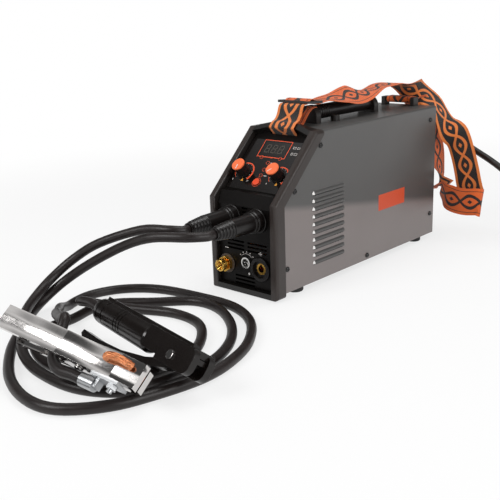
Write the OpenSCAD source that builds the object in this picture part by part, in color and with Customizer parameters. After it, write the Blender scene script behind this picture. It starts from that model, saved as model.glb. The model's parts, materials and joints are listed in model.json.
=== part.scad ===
// Portable inverter welding machine with two leads, electrode holder and earth clamp.
// Millimetres. X to the right, Y to the back, Z up. The origin is under the middle of the
// case, on the plane that the four feet stand on.

/* [Case] */
// Width of the folded sheet cover
case_w = 112; // [108:1:130]
// Length of the cover, front to back
case_l = 370; // [350:1:430]
// Height of the cover
case_h = 200; // [198:1:215]
// Thickness of the sheet metal
sheet_t = 1.2; // [0.8:0.1:1.5]
// Radius of the cover's two long top bends
bend_r = 3; // [2:0.5:5]
// Height of the front kink above the cover's lower edge
kink_h = 114; // [112:1:118]
// Run of the sloped front edge, front to back
slope_run = 83; // [80:1:88]
// Height of the short upright edge above the slope
front_step = 6; // [4:1:8]

/* [Louvres] */
// Number of pressed louvres on each side
louvre_count = 10; // [4:1:10]
// Length of one louvre
louvre_l = 72; // [50:1:80]
// Height of the lowest louvre above the cover's lower edge
louvre_z = 26; // [20:1:40]
// Distance between two louvres
louvre_pitch = 10.4; // [9:0.1:11]
// How far a louvre stands out of the cover
louvre_out = 2.2; // [1.8:0.1:2.6]

/* [Feet and screws] */
// Height of the rubber feet
foot_h = 8; // [6:1:14]
// Diameter of the rubber feet
foot_d = 23; // [18:1:26]
// Distance of the feet from the case's middle plane
foot_x = 42; // [34:1:43]
// Distance of the feet from the cover's front and rear ends
foot_inset = 36; // [24:1:60]
// Diameter of the cover screws' shanks
screw_d = 3.6; // [3:0.1:4]
// Diameter of the cover screws' pan heads
screw_head_d = 7.2; // [6.4:0.1:8]

/* [Bezel] */
// How far the bezel stands out of the cover on each side
bezel_side = 2; // [1:0.5:3]
// How far the bezel stands ahead of the cover
bezel_depth = 18.5; // [17:0.5:21]
// How far the bezel stands off the sloped edge, square to it
bezel_rise = 16; // [15:0.5:18]
// How far the bezel hangs below the cover
bezel_drop = 6; // [3:0.5:6]
// Width of the opening in the bezel
opening_w = 94; // [92:1:96]
// Height of the hump on top of the bezel
hump_h = 6; // [5:0.5:8]
// Width of the hump's flat top
hump_w = 48; // [46:1:56]
// Wall of the bezel moulding
bezel_wall = 3; // [2:0.5:3.5]

/* [Front panel] */
// Thickness of the front panel
panel_t = 3; // [2:0.5:3]
// Distance of the lower wall's face ahead of the cover
wall_set = 11.5; // [11:0.5:13]
// Height of the sloped panel's face above the sloped edge
panel_set = 7; // [6:0.5:9]
// Thickness of the glossy control overlay
overlay_t = 0.8; // [0.5:0.1:1.2]
// Bare edge left beside the overlay
overlay_edge = 2; // [1:0.5:4]
// Upper end of the overlay along the slope
overlay_top = 93; // [91:1:97]
// Height of the three rows of vents between the sockets
vent_h = 2.6; // [2:0.1:3]

/* [Controls] */
// Diameter of the knobs over their flutes
knob_d = 20; // [18:0.5:22]
// Diameter of the knobs' caps
knob_cap_d = 18; // [15:0.5:18]
// Height of a knob's cap face above the sloped panel
knob_h = 18; // [15:0.5:22]
// Distance of the knobs from the middle plane
knob_x = 29; // [27:0.5:31]
// Place of the knobs along the slope
knob_s = 38.5; // [36:0.5:40]
// Diameter of the control shafts
shaft_d = 6; // [5:0.5:6.4]
// Diameter of the mode button
button_d = 10; // [8:0.5:12]
// Place of the mode button along the slope
button_s = 25.5; // [23:0.5:27]
// Travel of the mode button
button_travel = 1; // [0.6:0.1:1.4]
// Width of the display window
window_w = 41.5; // [36:0.5:44]
// Height of the display window
window_h = 22.5; // [20:0.5:24]
// Place of the display window's middle along the slope
window_s = 79; // [78:0.5:80]

/* [Sockets] */
// Distance of the two upper weld sockets from the middle plane
socket_x = 22; // [20:0.5:24]
// Height of the upper weld sockets above the cover's lower edge
socket_z = 94.3; // [90:0.1:96]
// Place of the free lower weld socket, across
low_socket_x = 25; // [23:0.5:27]
// Height of the free lower weld socket
low_socket_z = 30; // [24:0.5:34]
// Outer diameter of the weld sockets' flanges
socket_d = 32; // [29:0.5:33]
// Diameter of the plug pins
pin_d = 9; // [8:0.5:10]
// Length of the plug sleeves from the front wall
plug_l = 80; // [74:1:95]
// Diameter of the plug collars
plug_d = 28.8; // [26:0.2:30]
// Diameter of the gas outlet's washer
washer_d = 26; // [24:1:27]
// Height of the gas outlet
gas_z = 28.6; // [26:0.1:32]
// Diameter of the gas outlet's threaded end
gas_thread_d = 16; // [14:0.5:17]
// Height of the torch control socket
torch_z = 35; // [32:0.5:38]
// Place of the torch control socket, across
torch_x = 1; // [-3:0.5:2]
// Diameter of the torch control socket
torch_d = 15; // [12:0.5:16]

/* [Rear and inside] */
// Outer side of the square fan frame
fan_w = 92; // [80:1:92]
// Depth of the fan frame
fan_t = 25; // [20:1:30]
// Height of the fan's axis above the cover's lower edge
fan_z = 55; // [54:1:60]
// Number of fan blades
fan_blades = 7; // [5:1:9]
// Height of the power board above the base pan
board_z = 16; // [12:1:20]

/* [Handle] */
// Start of the handle, from the cover's front end
handle_y = 122; // [118:1:130]
// Length of the handle
handle_l = 150; // [140:1:160]
// Diameter of the rubber grip
grip_d = 20; // [18:0.5:22]
// Height of the handle above the cover
handle_h = 24; // [24:0.5:28]

/* [Strap] */
// Width of the carrying strap
strap_w = 42; // [36:1:42]
// Thickness of the webbing
strap_t = 1.6; // [1:0.1:1.8]

/* [Leads] */
// Diameter of the two welding leads
lead_d = 12; // [10:0.5:12.5]
// Diameter of the mains cord
mains_d = 10; // [8:0.5:10.5]
// Number of loops in the put-away mains cord
coil_loops = 5; // [2:1:6]
// Outer radius of the coil, to the middle of the cord
coil_r = 68; // [60:1:80]
// Clear gap between neighbouring turns
coil_gap = 0.8; // [0.5:0.1:2]

/* [Earth clamp] */
// Width of the upper stamped jaw
clamp_w = 26; // [24:1:30]
// Thickness of the stamped steel
clamp_t = 1.5; // [1:0.1:2]
// Length from the clamp's pin to the jaw tip
clamp_jaw_l = 74; // [66:1:80]
// Length from the clamp's pin to the handle tips
clamp_arm_l = 106; // [96:1:120]

/* [Electrode holder] */
// Length of the holder's round handle
holder_grip_l = 118; // [100:1:130]
// Diameter of the holder's round handle
holder_grip_d = 30; // [26:1:32]
// Length of the holder from end to end
holder_l = 206; // [196:1:220]

/* [Hidden] */
$fn = 48;

// Small clearances
gap = 0.3;            // between neighbours that are fitted by hand
fit = 0.1;            // between a part and the hole that locates it
run = 0.05;           // radial clearance of a turning pin

// Levels and places in the case frame: y from the cover's front, z from its lower edge
slope_end_z = case_h - front_step;
slope_rise = slope_end_z - kink_h;
slope_a = atan2(slope_rise, slope_run);
slope_l = norm([slope_run, slope_rise]);
inner_w = case_w - 2 * sheet_t;
louvre_y = 57;
louvre_r = 4;
lip_l = 14;
lip_t = 2.3;
edge_gap = 1;
rear_set = 3;
rear_y = case_l - rear_set - sheet_t;
pan_flange_h = 42;
pan_front_y = 16;
flange_x = inner_w / 2 - fit;
bezel_w = case_w + 2 * bezel_side;
bezel_kink_z = kink_h + (bezel_rise - bezel_depth * sin(slope_a)) / cos(slope_a);
opening_foot_z = 1.5;
recess_top_s = slope_l - 7.3;
recess_side_s = recess_top_s - 8;
rim_t = 10.3;
rim_back_y = slope_y(case_h, bezel_rise) + rim_t;
overlay_w = opening_w - 2 * overlay_edge;
strap_slot = strap_w + 3;
fan_y = rear_y - fan_t - fit;
standoff_d = 6;
panel_pins = [[-41, 12], [41, 12], [-41, 96], [41, 96]];
control_board_n = -9;
mode_hole_d = button_d + 2 * fit;
panel_foot_s = 12;
bush_d = 7;
pot_d = 16;
board_t = 1.6;
knob_cap_t = 2;
window_t = 2.5;
flange_t = 3;
socket_body_d = 28;
plug_nose_d = 22;
insert_d = 15;
washer_t = 1.5;
gas_x = washer_d / 2 + 0.5 - opening_w / 2;
gas_stub_d = 10;
gas_thread_y = 9;
gas_tip_y = 17;
torch_body_d = 12;
stud_d = 5;
rear_flange_l = 22;
fan_bore = fan_w - 6;
fan_hole = fan_w / 2 - 4.75;
fan_screw_d = 4;
gland_x = 15;
gland_z = case_h - 38;
gland_d = 16;
gland_l = 30;
valve_x = -36;
valve_z = case_h - 82;
valve_l = 46;
barb_d = 10;
hose_d = 8;
hose_bore = 5;
hose_push = 10;
switch_x = -28;
switch_z = case_h - 28;
switch_w = 22;
switch_h = 30;
rocker_w = 14;
rocker_h = 21;
rocker_tilt = 10;
rocker_pin_d = 2.4;
board_front_y = 40;
board_rear_y = 325;
sink_y = 150;
sink_l = 120;
handle_w = 30;
cap_t = 10;
grip_core_d = 12;
grip_z = case_h + 3 + grip_d / 2;
puck_x = 18;
puck_y = 160;
bracket_y = 355;
bracket_half = 26;
bracket_bar_z = 9;
slider_y = 106;
slider_z = case_h + 31;
slider_l = 32;
slider_tilt = -4;
foot_places = [for (x = [-foot_x, foot_x], y = [foot_inset, case_l - foot_inset]) [x, y]];
board_posts = [[-40, 50], [40, 50], [-40, 315], [40, 315]];
capacitor_places = [[-24, 300], [24, 300]];
top_studs = [[0, handle_y + cap_t / 2], [0, handle_y + handle_l - cap_t / 2],
             [-bracket_half, bracket_y], [bracket_half, bracket_y], [puck_x, puck_y]];
hose_route = [[valve_x, rear_y - valve_l - gap, valve_z], [valve_x, rear_y - valve_l - 22, valve_z],
              [-48, 270, 114], [-48, 150, 110], [-48, 60, 72], [-46, 38, 44], [gas_x, 24, gas_z],
              [gas_x, 14 + gap - wall_set, gas_z]];

// Screw places on one side: [y, z, what the shank reaches]
screw_places = [[4, 32], [21.5, kink_h + 16], [76, slope_end_z - 13], [case_l / 2 - 1, 6.7],
                [case_l - 17, case_h - 19.5], [case_l - 11.4, 32.6]];
light_places = [[-14.4, 64.4], [16.7, 65], [1, 56.9], [1, 45.7], [1, 36.4]];
light_d = 3;
wall_light = [5, 20];
socket_places = [[-socket_x, socket_z], [socket_x, socket_z], [low_socket_x, low_socket_z]];

// y of the line that lies n off the sloped edge, at height z
function slope_y(z, n) = ((z - kink_h) * cos(slope_a) - n) / sin(slope_a);
// Point [y, z] that lies s along the slope and n off it
function slope_pt(s, n) =
    [s * cos(slope_a) - n * sin(slope_a), kink_h + s * sin(slope_a) + n * cos(slope_a)];

module in_case() {
    translate([0, -case_l / 2, foot_h]) children();
}

// In the case frame: x across, local y up the slope, local z square to it
module on_slope(x, s, n) {
    translate([x, slope_pt(s, n)[0], slope_pt(s, n)[1]]) rotate([slope_a, 0, 0]) children();
}

// Draws a [y, z] outline and extrudes it across the case
module across(w) {
    rotate([90, 0, 90]) linear_extrude(w, center = true) children();
}

module side_pair(x) {
    for (side = [-1, 1]) translate([side * x, 0, 0]) children();
}

// A round bar from y0 to y1
module bar_y(r, y0, y1) {
    translate([0, y0, 0]) rotate([-90, 0, 0]) cylinder(r = r, h = y1 - y0);
}

// A turned part that points to the front: profile of [radius, distance ahead of y = 0]
module turned_front(profile) {
    rotate([90, 0, 0]) rotate_extrude() polygon(profile);
}

// ---- Sheet metal ----

module cover_outline() {
    polygon([[0, 0], [0, kink_h], [slope_run, slope_end_z], [slope_run, case_h],
             [case_l, case_h], [case_l, 0]]);
}

// The U shape of the cover, seen from the front
module cover_section() {
    half = case_w / 2;
    translate([-half, 0]) square([case_w, case_h - bend_r]);
    translate([bend_r - half, 0]) square([case_w - 2 * bend_r, case_h]);
    for (side = [-1, 1]) translate([side * (half - bend_r), case_h - bend_r]) circle(bend_r);
}

module louvre_rows(r) {
    for (side = [-1, 1], i = [0 : louvre_count - 1])
        translate([side * (case_w / 2 + louvre_out - louvre_r), louvre_y, louvre_z + i * louvre_pitch]) {
            translate([0, louvre_r, 0]) sphere(r);
            translate([0, louvre_l - louvre_r, 0]) sphere(r);
            bar_y(r, louvre_r, louvre_l - louvre_r);
        }
}

module louvre_mouths() {
    for (side = [-1, 1], i = [0 : louvre_count - 1])
        translate([side * (case_w / 2 + louvre_r / 2), louvre_y + louvre_l / 2,
                   louvre_z + i * louvre_pitch - 1 - louvre_r / 2])
            cube([louvre_r, louvre_l, louvre_r], center = true);
}

module screw_holes(d) {
    for (p = screw_places)
        translate([0, p[0], p[1]]) rotate([0, 90, 0]) cylinder(d = d, h = case_w + 2, center = true);
}

module cover() {
    color("#6b6665") in_case() difference() {
        union() {
            intersection() {
                across(case_w) cover_outline();
                translate([0, case_l, 0]) rotate([90, 0, 0]) linear_extrude(case_l) cover_section();
            }
            intersection() {
                louvre_rows(louvre_r);
                side_pair(case_w / 2 - sheet_t + louvre_r)
                    translate([-louvre_r, 0, 0]) cube([2 * louvre_r, case_l, case_h]);
            }
        }
        translate([-inner_w / 2, -1, -1]) cube([inner_w, case_l + 2, case_h - sheet_t + 1]);
        louvre_rows(louvre_r - 0.8);
        louvre_mouths();
        screw_holes(screw_d + 2 * fit);
        for (p = top_studs) translate([p[0], p[1], case_h - 5]) cylinder(d = stud_d + 2 * fit, h = 10);
    }
}

module base_pan() {
    color("#8f9294") in_case() difference() {
        union() {
            translate([-flange_x, pan_front_y, 0]) cube([2 * flange_x, rear_y - pan_front_y, sheet_t]);
            side_pair(flange_x - sheet_t / 2)
                translate([-sheet_t / 2, pan_front_y, 0]) cube([sheet_t, rear_y - pan_front_y, pan_flange_h]);
            for (p = board_posts) translate([p[0], p[1], 0]) cylinder(d = standoff_d, h = board_z);
        }
        screw_holes(screw_d + 2 * fit);
        for (p = foot_places) translate([p[0], p[1], -1]) cylinder(d = stud_d + 2 * fit, h = 10);
    }
}

module rear_panel() {
    color("#3b3a3b") in_case() difference() {
        union() {
            translate([-flange_x, rear_y, 0]) cube([2 * flange_x, sheet_t, case_h - sheet_t - fit]);
            side_pair(flange_x - sheet_t / 2)
                translate([-sheet_t / 2, rear_y - rear_flange_l, pan_flange_h + 4])
                    cube([sheet_t, rear_flange_l + sheet_t, case_h - pan_flange_h - 8]);
            translate([4 - flange_x, rear_y - rear_flange_l, sheet_t])
                cube([2 * flange_x - 8, rear_flange_l + sheet_t, sheet_t]);
        }
        screw_holes(screw_d + 2 * fit);
        rear_hole(0, fan_z, fan_bore);
        for (sx = [-1, 1], sz = [-1, 1]) rear_hole(sx * fan_hole, fan_z + sz * fan_hole, fan_screw_d + 2 * fit);
        rear_hole(gland_x, gland_z, gland_d + 2 * fit);
        rear_hole(valve_x, valve_z, barb_d + 2 * fit);
        translate([switch_x, rear_y, switch_z]) cube([switch_w + 2 * fit, 10, switch_h + 2 * fit], center = true);
    }
}

module rear_hole(x, z, d) {
    translate([x, rear_y, z]) rotate([90, 0, 0]) cylinder(d = d, h = 10, center = true);
}

// ---- Bezel and front panel ----

module bezel_outline(shrink) {
    top = case_h - shrink;
    polygon([[shrink - bezel_depth, shrink - bezel_drop], [shrink - bezel_depth, bezel_kink_z],
             [slope_y(top, bezel_rise) + shrink / sin(slope_a), top], [slope_run - edge_gap, top],
             [slope_run - edge_gap, slope_end_z], [-edge_gap, kink_h], [-edge_gap, shrink - bezel_drop]]);
}

// The opening that the panel closes, with room of clear inside its edges.
// Its slanted top corners are cut square to the slope.
module panel_opening(clear) {
    side = opening_w - hump_w / 2;
    side_s = 2 * recess_side_s - recess_top_s;
    intersection() {
        translate([clear - opening_w / 2, -case_h, opening_foot_z + clear])
            cube([opening_w - 2 * clear, 3 * case_h, 2 * case_h]);
        translate([0, 0, kink_h]) rotate([slope_a, 0, 0]) translate([0, -clear, -case_h])
            linear_extrude(3 * case_h)
                polygon([[-side, -2 * case_h], [side, -2 * case_h], [side, side_s],
                         [hump_w / 2, recess_top_s], [-hump_w / 2, recess_top_s], [-side, side_s]]);
    }
}

module bezel_hump() {
    top = case_h + hump_h;
    intersection() {
        across(opening_w)
            polygon([[slope_y(case_h - 1, bezel_rise), case_h - 1], [slope_y(top, bezel_rise), top], [rim_back_y, top],
                     [slope_run - edge_gap, case_h], [slope_run - edge_gap, case_h - 1]]);
        translate([0, slope_run, 0]) rotate([90, 0, 0]) linear_extrude(slope_run)
            polygon([[-opening_w / 2, case_h - 2], [-opening_w / 2, case_h], [-hump_w / 2, top],
                     [hump_w / 2, top], [opening_w / 2, case_h], [opening_w / 2, case_h - 2]]);
    }
}

module bezel_rails_hollow() {
    outer = inner_w / 2 - gap - lip_t + 1;
    inner = opening_w / 2 + bezel_wall;
    side_pair((outer + inner) / 2) across(outer - inner) translate([0.1, 0]) bezel_outline(bezel_wall);
}

// Lips that reach into the cover and take its screws
module bezel_lips() {
    side_pair(inner_w / 2 - gap - lip_t / 2) across(lip_t)
        polygon([[-lip_t - edge_gap, 4], [-lip_t - edge_gap, kink_h],
                 [slope_run - lip_t - edge_gap, slope_end_z], [slope_run + lip_l, slope_end_z],
                 [lip_l, kink_h], [lip_l, 4]]);
}

module front_bezel() {
    color("#4a4643") in_case() difference() {
        union() {
            difference() {
                union() {
                    across(bezel_w) bezel_outline(0);
                    bezel_hump();
                }
                panel_opening(0);
                bezel_rails_hollow();
                translate([-strap_slot / 2, rim_back_y, case_h - 30]) cube([strap_slot, slope_run, 60]);
            }
            bezel_lips();
        }
        screw_holes(screw_d + 2 * fit);
    }
}

// Front and back of the panel, bottom to top: lower wall, band, slope
panel_front = [[-wall_set, 0], [-wall_set, kink_h - 4.5], [-wall_set - 1, kink_h - 4.5],
               [-wall_set + 7, kink_h + 12], slope_pt(11, panel_set), slope_pt(recess_top_s, panel_set)];
panel_back = [slope_pt(recess_top_s, panel_set - panel_t), slope_pt(8, panel_set - panel_t),
              [panel_t - wall_set, kink_h + 2], [panel_t - wall_set, 0]];

module vent_slots(x0, x1, z0, count) {
    for (i = [0 : count - 1])
        translate([x0, -wall_set - 1, z0 + i * 2 * vent_h]) cube([x1 - x0, panel_t + 2, vent_h]);
}

// A hole square to the slope, right through panel and overlay
module slope_hole(x, s, d) {
    on_slope(x, s, panel_set - panel_t - 1) cylinder(d = d, h = panel_t + 4);
}

module window_hole(extra) {
    on_slope(0, window_s, panel_set)
        cube([window_w + 2 * extra, window_h + 2 * extra, 4 * panel_t], center = true);
}

module control_holes() {
    for (x = [-knob_x, knob_x]) slope_hole(x, knob_s, bush_d + 2 * fit);
    slope_hole(0, button_s, mode_hole_d);
    for (p = light_places) slope_hole(p[0], p[1], light_d + 2 * fit);
}

module wall_hole(x, z, d) {
    translate([x, -wall_set, z]) rotate([90, 0, 0]) cylinder(d = d, h = 4 * panel_t, center = true);
}

module front_panel() {
    color("#1b1a1a") in_case() {
        difference() {
            intersection() {
                across(case_w) polygon(concat(panel_front, panel_back));
                panel_opening(gap);
            }
            control_holes();
            window_hole(fit);
            for (p = socket_places) wall_hole(p[0], p[1], socket_body_d + 2 * fit);
            wall_hole(gas_x, gas_z, gas_stub_d + 2 * fit);
            wall_hole(torch_x, torch_z, torch_body_d + 2 * fit);
            wall_hole(wall_light[0], wall_light[1], light_d + 2 * fit);
            vent_slots(-5, 5, socket_z + 6.5, 2);
            vent_slots(-32, -3, 50, 3);
            vent_slots(3, 36, 50, 3);
            vent_slots(-20, 14, 3, 3);
            on_slope(0, recess_top_s - 2, panel_set)
                cube([strap_slot, 5, 4 * panel_t], center = true);
        }
        // pins that carry the control board
        for (p = panel_pins)
            on_slope(p[0], p[1], control_board_n)
                cylinder(d = 4, h = panel_set - panel_t - control_board_n + 1);
    }
}

// ---- Controls ----

module overlay_outline() {
    half = overlay_w / 2;
    corner = 6;
    translate([-half, panel_foot_s]) square([overlay_w, overlay_top - corner - panel_foot_s]);
    translate([corner - half, panel_foot_s]) square([overlay_w - 2 * corner, overlay_top - panel_foot_s]);
    for (side = [-1, 1]) translate([side * (half - corner), overlay_top - corner]) circle(corner);
}

module control_overlay() {
    color("#0c0c0d") in_case() difference() {
        on_slope(0, 0, panel_set) linear_extrude(overlay_t) overlay_outline();
        control_holes();
        window_hole(fit);
    }
}

module display_window() {
    color("#2a0f0a") in_case() on_slope(0, window_s, panel_set + overlay_t - window_t / 2)
        cube([window_w, window_h, window_t], center = true);
}

module control_board() {
    top = control_board_n;
    color("#1d5a34") in_case() difference() {
        union() {
            on_slope(0, 54, top - board_t / 2) cube([opening_w - 6, 94, board_t], center = true);
            // display block, up to the back of the window
            on_slope(0, window_s, top) translate([-window_w / 2 + 1, -window_h / 2 + 1, -board_t / 2])
                cube([window_w - 2, window_h - 2, panel_set + overlay_t - window_t - fit - top + board_t / 2]);
            // push switch under the mode button
            on_slope(-3, button_s - 3, top - board_t / 2)
                cube([6, 6, panel_set - panel_t - fit - 1 - button_travel - gap - top + board_t / 2]);
            // lamps under the indicator lenses
            for (p = light_places) on_slope(p[0], p[1], top - board_t / 2)
                cylinder(d = light_d, h = panel_set - panel_t - fit - top + board_t / 2);
        }
        for (x = [-knob_x, knob_x]) on_slope(x, knob_s, top) cylinder(d = pot_d + 2 * gap, h = 10, center = true);
    }
}

module potentiometers() {
    color("#9a9c9e") in_case() for (x = [-knob_x, knob_x]) {
        on_slope(x, knob_s, control_board_n - 3) cylinder(d = pot_d, h = panel_set - panel_t - fit - control_board_n + 3);
        on_slope(x, knob_s, panel_set - panel_t - 1) cylinder(d = bush_d, h = panel_t + overlay_t + 1);
        on_slope(x, knob_s, panel_set) cylinder(d = shaft_d, h = knob_h - knob_cap_t - 2);
    }
}

module knob(x) {
    flutes = 18;
    foot = overlay_t + gap;
    color("#161616") in_case() on_slope(x, knob_s, panel_set) difference() {
        union() {
            translate([0, 0, foot]) cylinder(d = knob_d, h = 3);
            translate([0, 0, foot]) cylinder(d = knob_d - 1.6, h = knob_h - knob_cap_t - foot);
        }
        for (i = [0 : flutes - 1]) rotate(i * 360 / flutes)
            translate([knob_d / 2 - 0.7, 0, foot + 2.4]) cylinder(d = 1.8, h = knob_h);
        translate([0, 0, -1]) cylinder(d = shaft_d + 2 * run, h = knob_h - knob_cap_t - 1);
    }
}

module knob_cap(x, turn) {
    color("#f06a35") in_case() on_slope(x, knob_s, panel_set + knob_h - knob_cap_t) difference() {
        cylinder(d = knob_cap_d, h = knob_cap_t);
        rotate(turn) translate([-0.5, 0.5, knob_cap_t - 0.4]) cube([1, knob_cap_d / 2 - 2, 1]);
    }
}

module knob_left() {
    knob(-knob_x);
}

module knob_left_cap() {
    knob_cap(-knob_x, 180);
}

module knob_right() {
    knob(knob_x);
}

module knob_right_cap() {
    knob_cap(knob_x, 135);
}

module mode_button() {
    back = panel_set - panel_t - fit;
    color("#e8502c") in_case() {
        on_slope(0, button_s, back - 1) cylinder(d = button_d + 3, h = 1);
        on_slope(0, button_s, back - 1) cylinder(d = button_d, h = 1 + fit + panel_t + overlay_t + 1.6);
    }
}

module indicator_lights() {
    color("#e8e4e0") in_case() {
        for (p = light_places) on_slope(p[0], p[1], panel_set - panel_t)
            cylinder(d = light_d, h = panel_t + overlay_t + 0.2);
        translate([wall_light[0], -wall_set, wall_light[1]]) bar_y(light_d / 2, -0.8, panel_t + 2);
    }
}

// ---- Sockets, plugs and gas ----

module on_wall(x, z) {
    in_case() translate([x, -wall_set, z]) children();
}

module weld_sockets() {
    color("#161616") for (p = socket_places) on_wall(p[0], p[1]) difference() {
        union() {
            turned_front([[0, -26], [socket_body_d / 2, -26], [socket_body_d / 2, 0], [socket_d / 2, 0],
                          [socket_d / 2, 2.2], [socket_d / 2 - 0.8, flange_t], [0, flange_t]]);
            // nut behind the panel
            bar_y(socket_body_d / 2 + 2, panel_t + fit, panel_t + 6);
        }
        // well around the insert, and the insert's seat
        bar_y(plug_nose_d / 2 + gap, -flange_t - 1, 0.5);
        bar_y(insert_d / 2 + fit, -1, 40);
    }
}

module weld_socket_inserts() {
    color("#c9a24a") for (p = socket_places) on_wall(p[0], p[1]) difference() {
        union() {
            bar_y(insert_d / 2, 0.6, 28);
            bar_y(insert_d / 2 + 2, 26 + fit, 29);
        }
        bar_y(pin_d / 2 + run, 0, 24);
        translate([-1.5, 0, 0]) cube([3, 20, pin_d / 2 + 2]);
    }
}

// Turned sleeve with collar and ribs, and the brass pin that it carries
module cable_plug(x) {
    face = flange_t + gap;
    rib_end = plug_l - 3;
    pitch = 5;
    ribs = 5;
    collar = plug_d / 2;
    body = collar - 2;
    tail = lead_d / 2 + 2.6;
    color("#151515") on_wall(x, socket_z) {
        difference() {
            turned_front(concat(
                [[0, face], [collar, face], [collar, face + 8], [collar - 1.4, face + 8.6], [collar - 1.4, face + 10],
                 [collar - 0.6, face + 10.6], [collar - 0.6, face + 12.6], [body, face + 13.2],
                 [body - 0.8, rib_end - ribs * pitch - 1]],
                [for (i = [0 : ribs - 1], k = [0, 1, 2, 3]) let (
                    y = rib_end - (ribs - i) * pitch,
                    r = body - 0.8 - (body - 0.8 - tail) * (i + (k > 1 ? 1 : 0)) / ribs)
                    [k == 0 || k == 3 ? r - 1.5 : r, y + [0, 1, 3.4, 4.4][k]]],
                [[tail - 1, rib_end], [tail - 1, plug_l], [0, plug_l]]));
            bar_y(pin_d / 2 + fit, -40, 0);
        }
        difference() {
            union() {
                bar_y(pin_d / 2, -38, 18);
                bar_y(plug_nose_d / 2, -face + 0.2, 0.2);
            }
            bar_y(pin_d / 4, -39, -20);
        }
    }
}

module plug_left() {
    cable_plug(-socket_x);
}

module plug_right() {
    cable_plug(socket_x);
}

module gas_outlet_washer() {
    color("#5d5148") on_wall(gas_x, gas_z) difference() {
        bar_y(washer_d / 2, -washer_t, 0);
        bar_y(gas_stub_d / 2 + fit, -5, 5);
    }
}

module gas_outlet() {
    color("#d2ab55") on_wall(gas_x, gas_z) difference() {
        union() {
            translate([0, -washer_t, 0]) rotate([90, 30, 0]) cylinder(d = 19 / cos(30), h = 5, $fn = 6);
            turned_front([[0, 6], [6, 6], [6, gas_thread_y], [gas_thread_d / 2, gas_thread_y],
                          [gas_thread_d / 2, gas_tip_y - 1], [gas_thread_d / 2 - 1, gas_tip_y], [0, gas_tip_y]]);
            bar_y(gas_stub_d / 2, -washer_t - 1, 14);
            bar_y(hose_bore / 2 - fit, 13, 22);
        }
        bar_y(2, -gas_tip_y - 1, 30);
        turned_front([[0, gas_tip_y - 6], [2, gas_tip_y - 6], [6, gas_tip_y + 0.1], [0, gas_tip_y + 0.1]]);
    }
}

module torch_control_socket() {
    color("#b9babb") on_wall(torch_x, torch_z) {
        difference() {
            union() {
                bar_y(torch_d / 2, -3, 0);
                bar_y(torch_body_d / 2, -1, 16);
            }
            bar_y(torch_d / 2 - 2, -4, 5);
        }
        for (x = [-2.4, 2.4]) translate([x, 0, 0]) bar_y(0.8, -1.5, 6);
    }
}

// ---- Rear and inside ----

// Puts local z on the fan's axis, pointing to the back
module on_fan(y) {
    in_case() translate([0, y, fan_z]) rotate([-90, 0, 0]) children();
}

module fan_frame() {
    hub_h = 4;
    color("#1c1c1e") on_fan(fan_y) {
        difference() {
            translate([0, 0, fan_t / 2]) cube([fan_w, fan_w, fan_t], center = true);
            translate([0, 0, -1]) cylinder(d = fan_bore, h = fan_t + 2);
            for (sx = [-1, 1], sy = [-1, 1])
                translate([sx * fan_hole, sy * fan_hole, -1]) cylinder(d = fan_screw_d + 2 * fit, h = fan_t + 2);
        }
        cylinder(d = 34, h = hub_h);
        for (a = [45 : 90 : 315]) rotate(a) translate([10, -2, 0]) cube([fan_bore / 2 - 9, 4, hub_h]);
        cylinder(d = 3, h = fan_t - 5 - gap);
    }
}

module fan_rotor() {
    blade_l = fan_bore / 2 - 1.5 - 14;
    hub_y = 5;
    color("#232326") on_fan(fan_y + hub_y) difference() {
        union() {
            cylinder(d = 32, h = fan_t - hub_y - 4);
            for (i = [0 : fan_blades - 1]) rotate(i * 360 / fan_blades) intersection() {
                translate([14, 0, (fan_t - hub_y - 4) / 2]) rotate([38, 0, 0])
                    translate([0, -13, -0.8]) cube([blade_l, 26, 1.6]);
                cylinder(r = fan_bore / 2 - 1.5, h = fan_t - hub_y - 4);
            }
        }
        translate([0, 0, -1]) cylinder(d = 3 + 2 * run, h = fan_t - hub_y - 4);
    }
}

module fan_guard() {
    wire = 2;
    color("#c4c6c8") on_fan(rear_y + sheet_t + wire / 2) {
        for (r = [10 : 8 : fan_bore / 2 - 1]) rotate_extrude() translate([r, 0]) circle(d = wire);
        for (a = [45 : 90 : 315]) rotate(a) {
            translate([0, 0, wire / 2 - 0.2]) rotate([0, 90, 0])
                cylinder(d = wire, h = fan_hole * sqrt(2) - fan_screw_d - gap);
            translate([fan_hole * sqrt(2), 0, -wire / 2]) difference() {
                cylinder(d = 2 * fan_screw_d + 2.5, h = wire);
                translate([0, 0, -1]) cylinder(d = fan_screw_d + 2 * fit, h = 4);
            }
        }
    }
}

module power_switch() {
    body_d = 20;
    color("#111112") in_case() translate([switch_x, rear_y + sheet_t, switch_z]) difference() {
        union() {
            translate([0, 1.2, 0]) cube([switch_w + 5, 2.4, switch_h + 5], center = true);
            translate([0, -body_d / 2, 0]) cube([switch_w, body_d + 0.5, switch_h], center = true);
        }
        translate([0, -2, 0]) cube([rocker_w + 2 * gap, 12, rocker_h + 4], center = true);
        rotate([0, 90, 0]) cylinder(d = rocker_pin_d + 2 * run, h = rocker_w + 4, center = true);
    }
}

module power_rocker() {
    color("#c23a2c") in_case() translate([switch_x, rear_y + sheet_t, switch_z]) {
        rotate([-rocker_tilt, 0, 0]) cube([rocker_w, 6, rocker_h], center = true);
        rotate([0, 90, 0]) cylinder(d = rocker_pin_d, h = rocker_w + 3.6, center = true);
    }
}

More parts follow.
